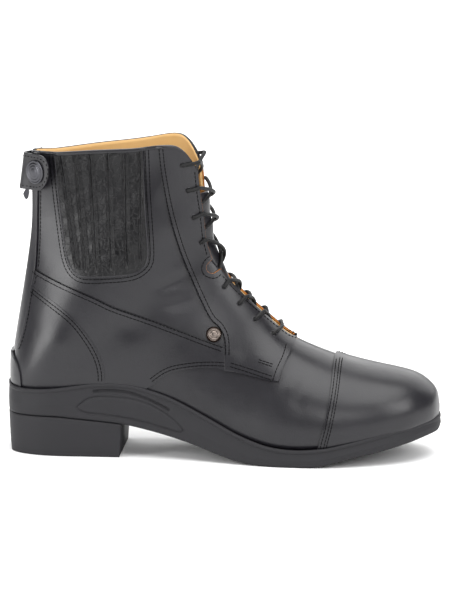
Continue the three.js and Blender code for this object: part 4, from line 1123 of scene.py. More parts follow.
    def toe_cap(self) -> bpy.types.Object:
        """Toe cap with its straight rear edge."""
        lateral, medial = (self.side_line(CAP_LINE, side, 60) for side in Side)
        rear = np.concatenate([lateral[::-1], medial])
        rear = rear[np.argsort(rear[:, 1])]
        turns = np.linspace(rear[0, 1], rear[-1, 1], 140)
        rear = np.stack([np.interp(turns, rear[:, 1], rear[:, 0]), turns], axis=1)
        tip = np.stack([np.full(140, 0.004), turns], axis=1)
        ends = [np.linspace(rear[k], tip[k], 60) for k in (0, -1)]
        return self.lay("toe_cap_leather", Patch(rear, tip, *ends), (140, 60), self.cap, self.cap + 0.1, 0.35)

    def body_half(self, side: Side) -> bpy.types.Object:
        """One half of the main upper, from the toe to the collar, with its lining inside."""
        end_x, _ = self.collar_end(side)
        turn = 1.0 if side is Side.MEDIAL else 0.0
        slot = self.slot_edge(side, np.linspace(SLOT_FOOT, 201.8, 60)) + (0, turn)
        centre = np.stack([np.linspace(0.002, slot[0, 0] - 0.004, 120), np.full(120, turn)], axis=1)
        back = np.concatenate([centre, slot])
        throat = self.throat_edge(side, notched=False)[::-1]
        ridge = np.stack([np.linspace(0.002, throat[0, 0] - 0.002, 210), np.full(210, 0.5)], axis=1)
        front = np.concatenate([ridge, throat])

        collar = self.collar_part(-21.0, end_x, side, 120)
        strays = np.abs(collar[:, 1] - turn) > 0.75
        collar[strays, 1] += 1 if turn else -1
        collar[0], collar[-1] = back[-1], throat[-1]
        toe = np.stack([np.full(60, 0.002), np.linspace(turn, 0.5, 60)], axis=1)
        patch = Patch(toe, collar, self.paired(back, front), front, 6.0)
        piece = self.lay(f"upper_{side.word}_leather", patch, (110, 250), 0.0, WALL, 0.0)
        solid = piece.modifiers["wall"]
        solid.material_offset = 1
        solid.material_offset_rim = 1
        return piece

    def collar_binding(self, side: Side) -> bpy.types.Object:
        """Folded edge of thin leather over the collar."""
        end_x, _ = self.collar_end(side)
        line = self.collar_part(-20.6, end_x - 0.3, side, 150)
        outer = self.form.at(line[:, 0], line[:, 1], self.binding_height(line, side))
        inner = self.form.at(line[:, 0], line[:, 1], -WALL - 0.2)
        # Share of the way to the inner face, and height over the collar line
        fold = ((0, -2.0), (0, -1.2), (0, -0.4), (0.15, 0.15), (0.35, 0.35), (0.6, 0.3), (0.75, -0.1))
        grid = np.array([(1 - k) * outer + k * inner + (0, 0, lift) for k, lift in fold])
        bm = grid_piece(len(line) - 1, len(fold) - 1, sampled(grid))
        bmesh.ops.recalc_face_normals(bm, faces=bm.faces)
        middle = [f for f in bm.faces if abs(f.normal.z) > 0.8]
        if middle and sum(f.normal.z for f in middle) < 0:
            bmesh.ops.reverse_faces(bm, faces=bm.faces)
        piece = to_object(bm, f"collar_binding_{side.word}")
        solid_sheet(piece, 0.4, 0.0)
        return piece

    def edge_plate(self, name: str, line: np.ndarray, heights: tuple[float, float],
                   turn: float) -> bpy.types.Object:
        """Thin face over the cut edge of a panel.

        Args:
            name: name of the piece.
            line: u and v along the edge.
            heights: lowest and highest height of the face.
            turn: step of v that leads off the panel.

        Returns:
            The face, 0.07 mm off the edge.
        """
        low, high = (self.form.at(line[:, 0], line[:, 1], height) for height in heights)
        out = unit_rows(np.cross(np.gradient(low, axis=0), high - low))
        toward = self.form.at(line[:, 0], line[:, 1] + turn, heights[0]) - low
        out *= np.sign(np.sum(out * toward))
        rows = np.array([low, low + 0.07 * out, high + 0.07 * out, high])
        bm = grid_piece(len(line) - 1, len(rows) - 1, sampled(rows))
        bmesh.ops.recalc_face_normals(bm, faces=bm.faces)
        piece = to_object(bm, name)
        solid_sheet(piece, 0.2, 0.0)
        return piece

    def throat_rim(self, side: Side) -> bpy.types.Object:
        """Bare cut edge of the facing along the throat."""
        line = self.throat_edge(side)[4:-2]
        return self.edge_plate(f"throat_rim_{side.word}", line, (0.1, self.facing - 0.5), -side.value * 1e-3)

    def slot_rim(self, side: Side) -> bpy.types.Object:
        """Inked edge of the upper beside the zip."""
        line = self.slot_edge(side, np.linspace(SLOT_FOOT + 0.6, 201.2, 60))
        return self.edge_plate(f"slot_rim_{side.word}", line, (-WALL - 0.1, 0.1), side.value * 1e-3)

    def binding_height(self, line: np.ndarray, side: Side) -> np.ndarray:
        """Height of the collar's outer face, over each panel that reaches it."""
        x = self.form.at(line[:, 0], line[:, 1])[:, 0]
        over = np.where(x < -15, self.strip, np.where((x > -6) & (x < 54.5), self.valley + 0.9, 0.25))
        over = np.where(x > 65.3, self.facing, over)
        kernel = np.ones(5) / 5
        return np.convolve(np.pad(over, 2, mode="edge"), kernel, mode="valid") + 0.1


@dataclass
class Tongue:
    """Soft tongue under the throat."""

    form: LastForm
    thickness: float = 2.2
    sink: float = 5.0
    top: float = 177.5
    half_width: float = 22.0

    def build(self) -> bpy.types.Object:
        """The tongue, bulged a little between the laces."""
        def place(s: np.ndarray, t: np.ndarray) -> np.ndarray:
            """Points of its outer face."""
            top = self.top - 3.2 * np.abs(2 * s - 1) ** 4
            z = 82 + (top - 82) * t
            full = self.half_width
            wide = np.interp(z, (82, 100, 140, 171, 178), (11.5, 16, full, full, full - 4))
            uv = self.form.on_front(np.stack([(2 * s - 1) * wide, z], axis=1))
            eyes = [height for _, height in EYELET_PLACES]
            gap = np.interp(z, eyes[::-1], np.arange(len(eyes))[::-1])
            calm = np.cos(0.5 * math.pi * (2 * s - 1) * np.clip(wide / 15, 0, 1))
            puff = 0.9 * np.sin(math.pi * (gap % 1)) ** 2 * calm
            return self.form.at(uv[:, 0], uv[:, 1], -self.sink + np.clip(puff, 0, 1))

        piece = laid_sheet("tongue_leather", self.form, (36, 90), place, self.thickness, 0.5, lining=1)
        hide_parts("tongue")
        return piece


@dataclass
class Sole:
    """Moulded unit sole with its cup wall, side lines and tread, and the heel block under it."""

    groove: float = 1.0
    groove_half: float = 0.75
    arc_depth: float = 1.7
    tread_pitch: float = 9.0
    tread_half: float = 1.3
    tread_depth: float = 1.4
    breast: float = 41.0

    def outline(self, s: np.ndarray) -> tuple[np.ndarray, ...]:
        """The outline all round.

        Args:
            s: 0 at the toe, a half at the heel, 1 at the toe again; the outer side comes first.

        Returns:
            x, half width, middle, rim share and side sign.
        """
        table = np.array(OUTLINE, dtype=float)
        share = np.where(s <= 0.5, 2 * s, 2 - 2 * s)
        column = natural_spline(table, np.clip(share, 0, 1) * (len(table) - 1))
        sign = np.where(s <= 0.5, -1.0, 1.0)
        return (along(column[:, 0]), np.clip(0.5 * column[:, 1] * SOLE_WIDTH, 0, None),
                0.5 * column[:, 2] * SOLE_WIDTH, column[:, 3], sign)

    def around(self, dense: int, sparse: int) -> np.ndarray:
        """Places round the outline, close together over the heel and waist."""
        places = np.linspace(0, 0.5, 4001)
        x, half = self.outline(places)[:2]
        step = np.hypot(np.diff(x), np.diff(half))
        weight = np.where(x[:-1] < 92, dense / 135.0, sparse / 150.0)
        run = np.concatenate([[0], np.cumsum(step * weight)])
        half_run = np.interp(np.linspace(0, run[-1], int(run[-1])), run, places)
        return np.concatenate([half_run, 1 - half_run[::-1][1:]])

    def inset(self, s: np.ndarray, deep: np.ndarray) -> tuple[np.ndarray, np.ndarray]:
        """x and y of the outline drawn in by a distance."""
        x, half, middle, _, sign = self.outline(s)
        low, high = along(0.0), along(1.0)
        inside = np.clip(x, low + deep, high - deep)
        narrow = np.maximum(0, np.minimum(half - deep, half * (1 - deep / (0.5 * SOLE_WIDTH))))
        narrow = np.where(deep > 0, narrow, half)
        return inside, middle + sign * narrow

    @staticmethod
    def away(x: np.ndarray, z: np.ndarray, line: np.ndarray) -> np.ndarray:
        """Distance of side-view places from a line."""
        best = np.full(x.shape, 1e9)
        for (x0, z0), (x1, z1) in zip(line[:-1], line[1:]):
            dx, dz = x1 - x0, z1 - z0
            k = np.clip(((x - x0) * dx + (z - z0) * dz) / max(dx * dx + dz * dz, 1e-9), 0, 1)
            best = np.minimum(best, np.hypot(x - x0 - k * dx, z - z0 - k * dz))
        return best

    @staticmethod
    def within(x: np.ndarray, z: np.ndarray, ring: np.ndarray) -> np.ndarray:
        """Whether side-view places lie inside a closed line."""
        inside = np.zeros(x.shape, dtype=bool)
        for (x0, z0), (x1, z1) in zip(ring, np.roll(ring, -1, axis=0)):
            cross = ((z0 > z) != (z1 > z)) & (x < (x1 - x0) * (z - z0) / (z1 - z0 + 1e-12) + x0)
            inside ^= cross
        return inside

    def unit(self) -> bpy.types.Object:
        """The outsole: inner wall, lip, side wall with its lines, and the patterned underside."""
        ring = self.around(230, 150)
        x0, _, _, rim_share, _ = self.outline(ring)
        rim = seat(x0) + rim_share * RIM_SIDE
        under = underside(x0)
        low = under + 1.8
        levels: list[tuple[np.ndarray, np.ndarray]] = []
        zero = np.zeros_like(x0)
        for deep, height in ((5.2, rim - 7.0), (4.2, rim - 2.2), (3.1, rim - 0.2), (2.2, rim), (0.9, rim),
                             (0.45, rim - 0.25), (0.2, rim - 0.7), (0.2, rim - 1.7), (0.45, rim - 2.2),
                             (0.85, rim - 2.5), (0.95, rim - 2.9)):
            levels.append((zero + deep, height))
        middle_z = 0.6 * under + 0.4 * rim
        for share in np.linspace(0.02, 1, 36):
            z = (rim - 2.9) * (1 - share) + low * share
            bulge = np.where(z > middle_z, 0.9 * (z - middle_z) / np.maximum(rim - 2.9 - middle_z, 0.5),
                             0.5 * (middle_z - z) / np.maximum(middle_z - low, 0.5))
            levels.append((np.clip(bulge, 0, 0.9), z))
        for deep, up in ((0.75, 1.1), (1.2, 0.5), (1.8, 0.12), (2.4, 0.0)):
            levels.append((zero + deep, under + up))
        walls = len(levels)
        for deep in (3.4, 5, 7.5, 10.5, 14, 18, 22, 26.5, 31, 36, 41, 46, 51):
            levels.append((zero + deep, under))
        oval = smooth_line(OVAL + (OVAL[0],), 120)
        arc = smooth_line(ARC, 50)

        def place(s: np.ndarray, t: np.ndarray) -> np.ndarray:
            """Points of the sole's skin."""
            i = np.round(t * (len(levels) - 1)).astype(int)
            j = np.round(s * (len(ring) - 1)).astype(int)
            deep = np.array([level[0] for level in levels])[i, j]
            z = np.array([level[1] for level in levels])[i, j].copy()
            side = (i > 10) & (i < walls - 4)
            x, _ = self.inset(ring[j], deep)
            gap = self.away(x, z, oval)
            inner = self.within(x, z, oval)
            hollow = self.groove * np.clip(1 - gap / self.groove_half, 0, 1) ** 0.6
            pillow = np.where(inner, 0.55 * np.clip(gap / 4.0, 0, 1) ** 0.6, 0)
            slot = self.arc_depth * np.clip(1.25 - self.away(x, z, arc) / 1.1, 0, 1)
            deep = deep + np.where(side, hollow + slot - pillow, 0)
            x, y = self.inset(ring[j], deep)
            tread = (i >= walls) & (x > 100) & (x < along(0.96))
            bar = np.abs((x - 104 + self.tread_pitch / 2) % self.tread_pitch - self.tread_pitch / 2)
            reach = 0.36 * SOLE_WIDTH * np.sqrt(np.clip(1 - ((x - 152) / 108) ** 2, 0.1, 1))
            off = np.abs(y - swing(x))
            rows = np.clip((self.tread_half + 0.35 - bar) / 0.7, 0, 1) * np.clip((reach - off) / 1.5, 0, 1)
            z += np.where(tread, self.tread_depth * rows, 0)
            ribs = (i >= walls - 1) & (x > 46) & (x < 80) & (off < 20)
            z -= np.where(ribs, 0.8 * np.clip(1 - np.abs((x - 48 + 3.5) % 7 - 3.5) / 1.6, 0, 1), 0)
            return np.stack([x, y, z], axis=1)

        bm = grid_piece(len(ring) - 1, len(levels) - 1, place)
        bmesh.ops.remove_doubles(bm, verts=bm.verts, dist=0.02)
        bmesh.ops.dissolve_degenerate(bm, edges=bm.edges, dist=0.01)
        bmesh.ops.recalc_face_normals(bm, faces=bm.faces)
        lowest = min(bm.faces, key=lambda f: f.calc_center_median().z)
        if lowest.normal.z > 0:
            bmesh.ops.reverse_faces(bm, faces=bm.faces)
        piece = to_object(bm, "outsole_rubber")
        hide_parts("outsole")
        return piece

    def heel(self) -> bpy.types.Object:
        """The heel block with its straight breast."""
        s = np.linspace(0.25, 0.75, 1200)
        ring_s = s[self.outline(s)[0] <= self.breast]
        ring_s = np.interp(np.linspace(0, len(ring_s) - 1, 150), np.arange(len(ring_s)), ring_s)
        levels = ((HEEL_TAPER + 1.3, 0.0), (HEEL_TAPER + 0.5, 0.08), (HEEL_TAPER + 0.1, 0.5),
                  (HEEL_TAPER - 0.05, 1.2), (2.6, 6.0), (2.1, 11.0), (1.6, 16.0), (1.1, 21.5))
        # The last ones are given by how far they lie under the sole
        rims = ((0.75, 0.9), (0.9, 0.35), (1.3, 0.0))
        bm = bmesh.new()
        loops = []
        for index, (deep, height) in enumerate(levels + rims):
            x, y = self.inset(ring_s, np.full(150, deep))
            top = underside(x) - 0.3
            z = np.minimum(height, top - 1.2) if index < len(levels) else top - height
            x = np.minimum(x, self.breast - 2.2 + 2.2 * z / 34)
            verts = [bm.verts.new(co) for co in zip(x, y, z)]
            loops.append([bm.edges.new((a, b)) for a, b in zip(verts, verts[1:] + verts[:1])])
        for low, high in zip(loops, loops[1:]):
            bmesh.ops.bridge_loops(bm, edges=low + high)
        bmesh.ops.holes_fill(bm, edges=loops[0] + loops[-1], sides=0)
        bmesh.ops.recalc_face_normals(bm, faces=bm.faces)
        piece = to_object(bm, "heel_block_rubber")
        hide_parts("heel_block")
        return piece


@dataclass
class Laces:
    """Round waxed laces, crossed between the eyelets, with a bar at the lowest pair."""

    form: LastForm
    radius: float = 1.25
    facing: float = FACING_LIFT

    def eyelet(self, k: int, side: Side, height: float) -> Vector:
        """Point above the centre of eyelet k."""
        uv = self.form.on_side(np.array([EYELET_PLACES[k]]), side)
        return Vector(self.form.at(uv[:, 0], uv[:, 1], height)[0])

    def front(self, y: float, z: float, height: float) -> Vector:
        """Point above the throat's plane in front view."""
        uv = self.form.on_front(np.array([(y, z)]))
        return Vector(self.form.at(uv[:, 0], uv[:, 1], height)[0])

    def level(self, k: int, share: float, y: float) -> float:
        """Height of the place straight across the throat from a share of the way between two eyelets."""
        last = len(EYELET_PLACES) - 1
        (x0, z0), (x1, z1) = EYELET_PLACES[k], EYELET_PLACES[min(k + 1, last)]
        (xa, za), (xb, zb) = EYELET_PLACES[min(k, last - 1)], EYELET_PLACES[min(k + 1, last)]
        slope = (xb - xa) / (zb - za)
        x, z = x0 + (x1 - x0) * share, z0 + (z1 - z0) * share
        level = z
        for _ in range(12):
            level = 0.5 * level + 0.5 * (z - slope * (self.front(y, level, 0).x - x))
        return level

    def crossing(self, k: int, side: Side, centre: float) -> np.ndarray:
        """Path from one eyelet over its facing, across the tongue and under the other facing."""
        sign = side.value
        near_z, far_z = self.level(k, 0.1, sign * 9), self.level(k, 0.74, -sign * 9)
        near, far = throat_half(near_z), throat_half(far_z)
        over = self.facing + 0.1 + self.radius
        edge = self.front(sign * (near - 0.9), near_z, over - 0.7)
        under = self.front(-sign * (far - 0.6), far_z, -3.5)
        middle_z = self.level(k, 0.42, 0)
        middle = self.front(0, middle_z, centre)
        chord = (edge + under) / 2
        middle.x = max(middle.x, chord.x) if k else chord.x + 1.3 * (centre + 1.9)
        return curve_through([
            self.eyelet(k, side, -1.2), self.eyelet(k, side, 1.2), self.eyelet(k, side, over - 0.1),
            self.front(sign * (near + 1.6), near_z, over), edge, middle, under,
            self.front(-sign * (far + 2.4), self.level(k, 0.84, -sign * 9), -3.6),
        ])

    def bar(self) -> np.ndarray:
        """Path of the outer bar between the lowest eyelets."""
        k = len(EYELET_PLACES) - 1
        over = self.facing + 0.1 + self.radius
        z = self.level(k, 0.0, 9)
        middle = self.level(k, 0.0, 0)
        half = throat_half(z) + 1.5
        return curve_through([
            self.eyelet(k, Side.LATERAL, -1.0), self.eyelet(k, Side.LATERAL, over - 0.4),
            self.front(-half, z, over), self.front(0, middle, over - 0.6), self.front(half, z, over),
            self.eyelet(k, Side.MEDIAL, over - 0.4), self.eyelet(k, Side.MEDIAL, -1.0),
        ])

    def build(self) -> list[bpy.types.Object]:
        """The crossings and the bar."""
        made = []
        for k in range(len(EYELET_PLACES) - 1):
            bm = tube_piece(self.crossing(k, Side.LATERAL, -0.6), self.radius)
            tube_piece(self.crossing(k, Side.MEDIAL, -3.1), self.radius, bm=bm)
            piece = to_object(bm, f"lace_crossing_{k + 1}")
            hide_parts(f"lace_{k + 1}")
            made.append(piece)
        piece = to_object(tube_piece(self.bar(), self.radius), "lace_bar")
        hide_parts(f"lace_{len(EYELET_PLACES)}")
        made.append(piece)
        return made

    def eyelet_rims(self) -> bpy.types.Object:
        """Raised rim of leather round each punched hole."""
        frames = []
        for side in Side:
            for place in EYELET_PLACES:
                uv = self.form.on_side(np.array([place]), side)
                normal = self.form.normal(*uv[0])
                at = self.form.at(uv[:, 0], uv[:, 1], self.facing)[0]
                turn = Vector((0, 0, 1)).rotation_difference(normal).to_matrix()
                frames.append((np.array(turn), at))
        profile = ((1.15, -0.5), (1.35, -0.05), (1.75, 0.16), (2.2, 0.08), (2.5, -0.12), (2.5, -0.5))
        rim = turned_piece(profile, Vector((0, 0, 0)), Vector((0, 0, 1)), 20)
        return join_arrays("eyelet_rims", rim, frames)


@dataclass
class Closure:
    """Zip at the back, with its snap tab."""

    form: LastForm
    tape_half: float = 3.1
    tab_thickness: float = 1.35
    tab_rows: Pairs = (
        # x, y, low and high of the outer face from the sewn end round the back to the free end
        (-8.5, 10.2, 178.5, 199.5), (-14, 10, 177, 200.8), (-20, 9, 176.6, 200.6), (-25.4, 7, 176.3, 200.4),
        (-28.5, 4, 176.2, 200.4), (-29.1, 0.4, 176.2, 200.5), (-27.4, -2.7, 176.2, 200.6),
        (-22.8, -6, 176.2, 200.7), (-18.7, -9.4, 176.3, 200.7), (-15.2, -12.3, 177.4, 200.6),
        (-12.3, -14.5, 180.4, 199), (-10.3, -15.4, 184.6, 196.6), (-9.3, -15.7, 188, 193.6),
    )
    snap_place: tuple[float, float, float] = (-18.7, -9.4, 189.0)
    snap_facing: tuple[float, float, float] = (-0.638, -0.77, 0.0)

    def tape(self) -> bpy.types.Object:
        """Woven tape in the slot."""
        def place(s: np.ndarray, t: np.ndarray) -> np.ndarray:
            """Points of the tape's outer face."""
            beside = (2 * s - 1) * self.tape_half + OFF_CENTRE
            uv = self.form.on_back(np.stack([beside, 65.6 + 135.4 * t], axis=1))
            return self.form.at(uv[:, 0], uv[:, 1], -1.1)

        piece = laid_sheet("zip_tape", self.form, (6, 90), place, 0.8, 0.0)
        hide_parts("zip")
        return piece

    def teeth(self) -> bpy.types.Object:
        """Closed chain of teeth, set alternately from each side."""
        bm = bmesh.new()
        bmesh.ops.create_cube(bm, size=1)
        bmesh.ops.scale(bm, vec=(2.3, 0.95, 1.15), verts=bm.verts)
        bmesh.ops.bevel(bm, geom=bm.edges[:], offset=0.22, segments=2, affect="EDGES", profile=0.5,
                        material=-1)
        frames = []
        for i, z in enumerate(np.arange(68.8, 201.0, 0.78)):
            sign = -1 if i % 2 else 1
            beside = sign * 0.45 + OFF_CENTRE
            uv = self.form.on_back(np.array([(beside, z), (beside, z + 0.5)]))
            a, b = self.form.at(uv[:, 0], uv[:, 1], -0.35)
            up = unit_rows(b - a)
            across = np.array((0, 1.0, 0))
            across = unit_rows(across - up * np.dot(across, up))
            frames.append((np.stack([across, up, np.cross(across, up)], axis=1), a))
        return join_arrays("zip_teeth", bm, frames)

    @staticmethod
    def lean(x: np.ndarray, level: np.ndarray) -> np.ndarray:
        """How far the tab leans back at a height, where it goes round the back."""
        return 0.125 * np.clip((-x - 23.5) / 4, 0, 1) * (level - 189)

    def tab(self) -> bpy.types.Object:
        """Snap tab that closes over the top of the zip."""
        rows = np.array(self.tab_rows, dtype=float)

        def place(s: np.ndarray, t: np.ndarray) -> np.ndarray:
            """Points of the tab's outer face."""
            column = natural_spline(rows, s * (len(rows) - 1))
            x, y, low, high = column.T
            z = low + (high - low) * t
            return np.stack([x + self.lean(x, z), y, z], axis=1)

        bm = grid_piece(110, 34, place)
        bm.normal_update()
        bm.faces.ensure_lookup_table()
        back = min(bm.faces, key=lambda f: f.calc_center_median().x)
        if back.normal.x > 0:
            bmesh.ops.reverse_faces(bm, faces=bm.faces)
        piece = to_object(bm, "snap_tab_leather")
        solid_sheet(piece, self.tab_thickness, 0.55)
        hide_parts("snap_tab")
        return piece

    def tab_stitches(self) -> bpy.types.Object:
        """Stitch row inside the tab's edge."""
        rows = np.array(self.tab_rows, dtype=float)
        start, stop = 2.0, len(rows) - 1.45
        places = np.linspace(start, stop, 60)
        column = natural_spline(rows, places)
        x, y, low, high = column.T
        ahead = natural_spline(rows, places + 0.02)
        run = unit_rows(ahead[:, :2] - column[:, :2])
        out = np.stack([-run[:, 1], run[:, 0], np.zeros(len(x))], axis=1)
        out *= np.sign(out[:, :2] @ np.array((-1, -0.8)))[:, None]
        inset = 2.2
        lower, upper = (np.stack([x + self.lean(x, level), y, level], axis=1) + 0.06 * out
                        for level in (low + inset, high - inset))
        end_x, end_y, low, high = natural_spline(rows, np.full(9, stop)).T
        level = low + inset + (high - low - 2 * inset) * np.linspace(0, 1, 9)
        path = np.concatenate([lower, np.stack([end_x, end_y, level], axis=1)[1:-1], upper[::-1]])
        reach = run_length(path)
        count = int(reach[-1] / 3.0)
        frames = []
        for at in (np.arange(count) + 0.5) * reach[-1] / count:
            a, b = (read_rows(at + step, reach, path) for step in (-0.6, 0.6))
            middle = (a + b) / 2
            tangent = unit_rows(b - a)
            out = np.array((middle[0] + 14, middle[1], 0.0))
            out = unit_rows(out - tangent * np.dot(out, tangent))
            frames.append((np.stack([tangent, np.cross(out, tangent), out], axis=1), middle))
        return join_arrays("snap_tab_stitches", Seams(self.form).seed(), frames)

    def cap(self) -> bpy.types.Object:
        """Snap cap with stepped rings."""
        profile = ((0, 0.3), (7.6, 0.3), (8.0, 0.55), (8.0, 0.95), (7.8, 1.2), (7.4, 1.32), (7.0, 1.3),
                   (6.7, 1.1), (6.5, 1.05), (6.2, 1.12), (5.9, 1.45), (5.5, 1.62), (5.1, 1.62),
                   (4.85, 1.48), (4.6, 1.48), (4.35, 1.66), (3.2, 1.82), (2.9, 1.74), (2.6, 1.86), (1.2, 2.0),
                   (0, 2.05))
        facing = Vector(self.snap_facing).normalized()
        piece = to_object(turned_piece(profile, Vector(self.snap_place), facing, 64), "snap_cap_metal")
        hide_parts("snap_cap")
        return piece


@dataclass
class Rivet:
    """Round ornament rivet with plain concentric rings."""

    form: LastForm

    def build(self) -> bpy.types.Object:
        """The rivet on the outer facing."""
        uv = self.form.on_side(np.array([RIVET_PLACE]), Side.LATERAL)
        normal = self.form.normal(*uv[0])
        at = Vector(self.form.at(uv[:, 0], uv[:, 1], 0.45)[0])
        profile = ((0, 0.4), (4.9, 0.4), (5.2, 0.8), (5.2, 1.6), (5.0, 2.0), (4.6, 2.2), (4.2, 2.12),
                   (3.95, 1.75), (3.7, 1.7), (3.45, 1.9), (3.15, 2.0), (2.85, 1.9), (2.6, 1.66), (2.35, 1.66),
                   (2.1, 1.9), (1.5, 2.15), (0.8, 2.3), (0, 2.35))
        bm = turned_piece(profile, at, normal, 56)
        for face in bm.faces:
            reach = (face.calc_center_median() - at).cross(normal).length
            face.material_index = int(reach > 4.1 or 2.3 < reach < 2.65 or 3.6 < reach < 4.0)
        piece = to_object(bm, "rivet_metal")
        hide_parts("rivet")
        return piece


# Finishes

def colour(code: str) -> tuple[float, float, float, float]:
    """Scene colour of an sRGB hex code."""
    parts = [int(code[i:i + 2], 16) / 255 for i in (1, 3, 5)]
    return tuple(c / 12.92 if c <= 0.04045 else ((c + 0.055) / 1.055) ** 2.4 for c in parts) + (1.0,)


def add(tree: bpy.types.NodeTree, kind: str, inputs: dict | None = None, **settings) -> bpy.types.Node:
    """Adds a shader node.

    Args:
        tree: the material's node tree.
        kind: the node's type name, without its ShaderNode prefix.
        inputs: socket name or number to a value, or to the output socket that feeds it.
        settings: the node's own properties.

    Returns:
        The node.
    """
    node = tree.nodes.new("ShaderNode" + kind)
    for key, value in settings.items():
        setattr(node, key, value)
    for key, value in (inputs or {}).items():
        if isinstance(value, bpy.types.NodeSocket):
            tree.links.new(value, node.inputs[key])
        else:
            node.inputs[key].default_value = value
    return node


@dataclass(frozen=True)
class Finish:
    """A surface finish; scales are the real sizes of its features in millimetres."""

    name: str
    light: str
    dark: str
    roughness: tuple[float, float] = (0.4, 0.5)
    metallic: float = 0.0
    coat: float = 0.0
    coat_roughness: float = 0.2
    specular: float = 0.5
    sheen: float = 0.0
    patch_mm: float = 30.0
    grain_mm: float = 0.9
    grain_depth: float = 0.05
    fine_mm: float = 0.35
    fine_depth: float = 0.02
    wave_mm: float = 12.0
    wave_depth: float = 0.0
    crinkle_mm: float = 3.0
    crinkle_depth: float = 0.0

    def material(self) -> bpy.types.Material:
        """The procedural material."""
        made = bpy.data.materials.new(self.name)
        made.use_nodes = True
        tree = made.node_tree
        tree.nodes.clear()
        out = add(tree, "OutputMaterial")
        place = add(tree, "TexCoord").outputs["Object"]
        blotch = add(tree, "TexNoise", {"Vector": place, "Scale": 1000 / self.patch_mm, "Detail": 3.0})
        tone = add(tree, "Mix", {0: blotch.outputs["Fac"], 6: colour(self.dark), 7: colour(self.light)},
                   data_type="RGBA")
        gloss = add(tree, "MapRange", {"Value": blotch.outputs["Fac"], "From Min": 0.3, "From Max": 0.7,
                                       "To Min": self.roughness[0], "To Max": self.roughness[1]})
        bump = self.relief(tree, place)
        shader = add(tree, "BsdfPrincipled", {
            "Base Color": tone.outputs[2], "Roughness": gloss.outputs[0], "Metallic": self.metallic,
            "Coat Weight": self.coat, "Coat Roughness": self.coat_roughness,
            "Specular IOR Level": self.specular, "Sheen Weight": self.sheen, "Normal": bump})
        tree.links.new(shader.outputs[0], out.inputs[0])
        return made

    def relief(self, tree: bpy.types.NodeTree, place: bpy.types.NodeSocket) -> bpy.types.NodeSocket:
        """Grain and soft waves as bump."""
        grain = add(tree, "TexVoronoi", {"Vector": place, "Scale": 1000 / self.grain_mm}, feature="SMOOTH_F1")
        fine = add(tree, "TexNoise", {"Vector": place, "Scale": 1000 / self.fine_mm, "Detail": 2.0})
        wave = add(tree, "TexNoise", {"Vector": place, "Scale": 1000 / self.wave_mm, "Detail": 4.0})
        swirl = add(tree, "VectorMath", {0: wave.outputs["Color"], 1: (0.004, 0.004, 0.004), 2: place},
                    operation="MULTIPLY_ADD")
        folds = add(tree, "TexVoronoi", {"Vector": swirl.outputs[0], "Scale": 1000 / self.crinkle_mm},
                    feature="DISTANCE_TO_EDGE")
        lines = add(tree, "MapRange", {"Value": folds.outputs["Distance"], "From Min": 0.0, "From Max": 0.16},
                    interpolation_type="SMOOTHSTEP")
        normal = None
        for source, depth in ((wave.outputs["Fac"], self.wave_depth), (lines.outputs[0], self.crinkle_depth),
                              (grain.outputs["Distance"], self.grain_depth),
                              (fine.outputs["Fac"], self.fine_depth)):
            if depth <= 0:
                continue
            inputs = {"Height": source, "Distance": depth * MM, "Strength": 1.0}
            if normal is not None:
                inputs["Normal"] = normal
            normal = add(tree, "Bump", inputs).outputs[0]
        return normal


# Black full-grain leather, lightly waxed, with fine pores
BLACK_LEATHER = Finish("black_leather", "#1b1a1f", "#131216", (0.3, 0.42), coat=0.14, coat_roughness=0.22,
                       specular=0.4, grain_mm=0.8, grain_depth=0.045, fine_mm=0.4, fine_depth=0.025,
                       wave_mm=14, wave_depth=0.3)
# The same hide, tumbled soft, for the pleated gusset
PLEATED_LEATHER = Finish("pleated_leather", "#0d0c0f", "#070708", (0.3, 0.42), coat=0.15,
                         coat_roughness=0.25, specular=0.25, grain_mm=1.3, grain_depth=0.06, fine_mm=0.5,
                         fine_depth=0.03, wave_mm=4.2, wave_depth=0.2, crinkle_mm=4.4, crinkle_depth=0.25)
# Tan lining calf
LINING_LEATHER = Finish("lining_leather", "#dcb67c", "#b58a4c", (0.55, 0.7), grain_mm=0.7, grain_depth=0.03,
                        wave_mm=10, wave_depth=0.2)
# Bare cut edge of the hide
CUT_EDGE = Finish("cut_edge", "#c07a35", "#8f5220", (0.7, 0.8), specular=0.1, grain_mm=0.4,
                  grain_depth=0.05)
# Matt black moulded rubber
SOLE_RUBBER = Finish("sole_rubber", "#2b2a2d", "#222224", (0.55, 0.68), grain_mm=0.6, grain_depth=0.02,
                     fine_mm=0.25, fine_depth=0.02, specular=0.25)
# Dark nickel of the zip and the snap
BLACK_METAL = Finish("black_metal", "#5a5a5e", "#37373b", (0.28, 0.4), metallic=1.0, fine_mm=0.3,
                     fine_depth=0.006, grain_depth=0.0)
# Aged silver of the rivet
OLD_SILVER = Finish("antique_silver", "#8a807a", "#4d443e", (0.28, 0.4), metallic=1.0, patch_mm=3,
                    grain_depth=0.0, fine_mm=0.5, fine_depth=0.01)
# Darkened bronze of the rivet's rim and hollows
OLD_BRONZE = Finish("old_bronze", "#281f1a", "#140f0d", (0.35, 0.5), metallic=1.0, patch_mm=3,
                    grain_depth=0.0, fine_mm=0.5, fine_depth=0.01)
# Black waxed cord
WAXED_CORD = Finish("waxed_cord", "#09090a", "#040405", (0.5, 0.62), grain_mm=0.75, grain_depth=0.22,
                    fine_mm=0.2, fine_depth=0.03, sheen=0.03, specular=0.3)
# Black bonded thread
THREAD = Finish("black_thread", "#070708", "#040405", (0.6, 0.7), grain_mm=0.5, grain_depth=0.06,
                specular=0.1)
# Painted shade of the needle piercings: near-black, matt, without reflection
PAINTED_HOLE_SHADE = Finish("needle_hole_shade", "#020202", "#010101", (0.9, 1.0), grain_depth=0.0, fine_depth=0.001,
                 specular=0.0)
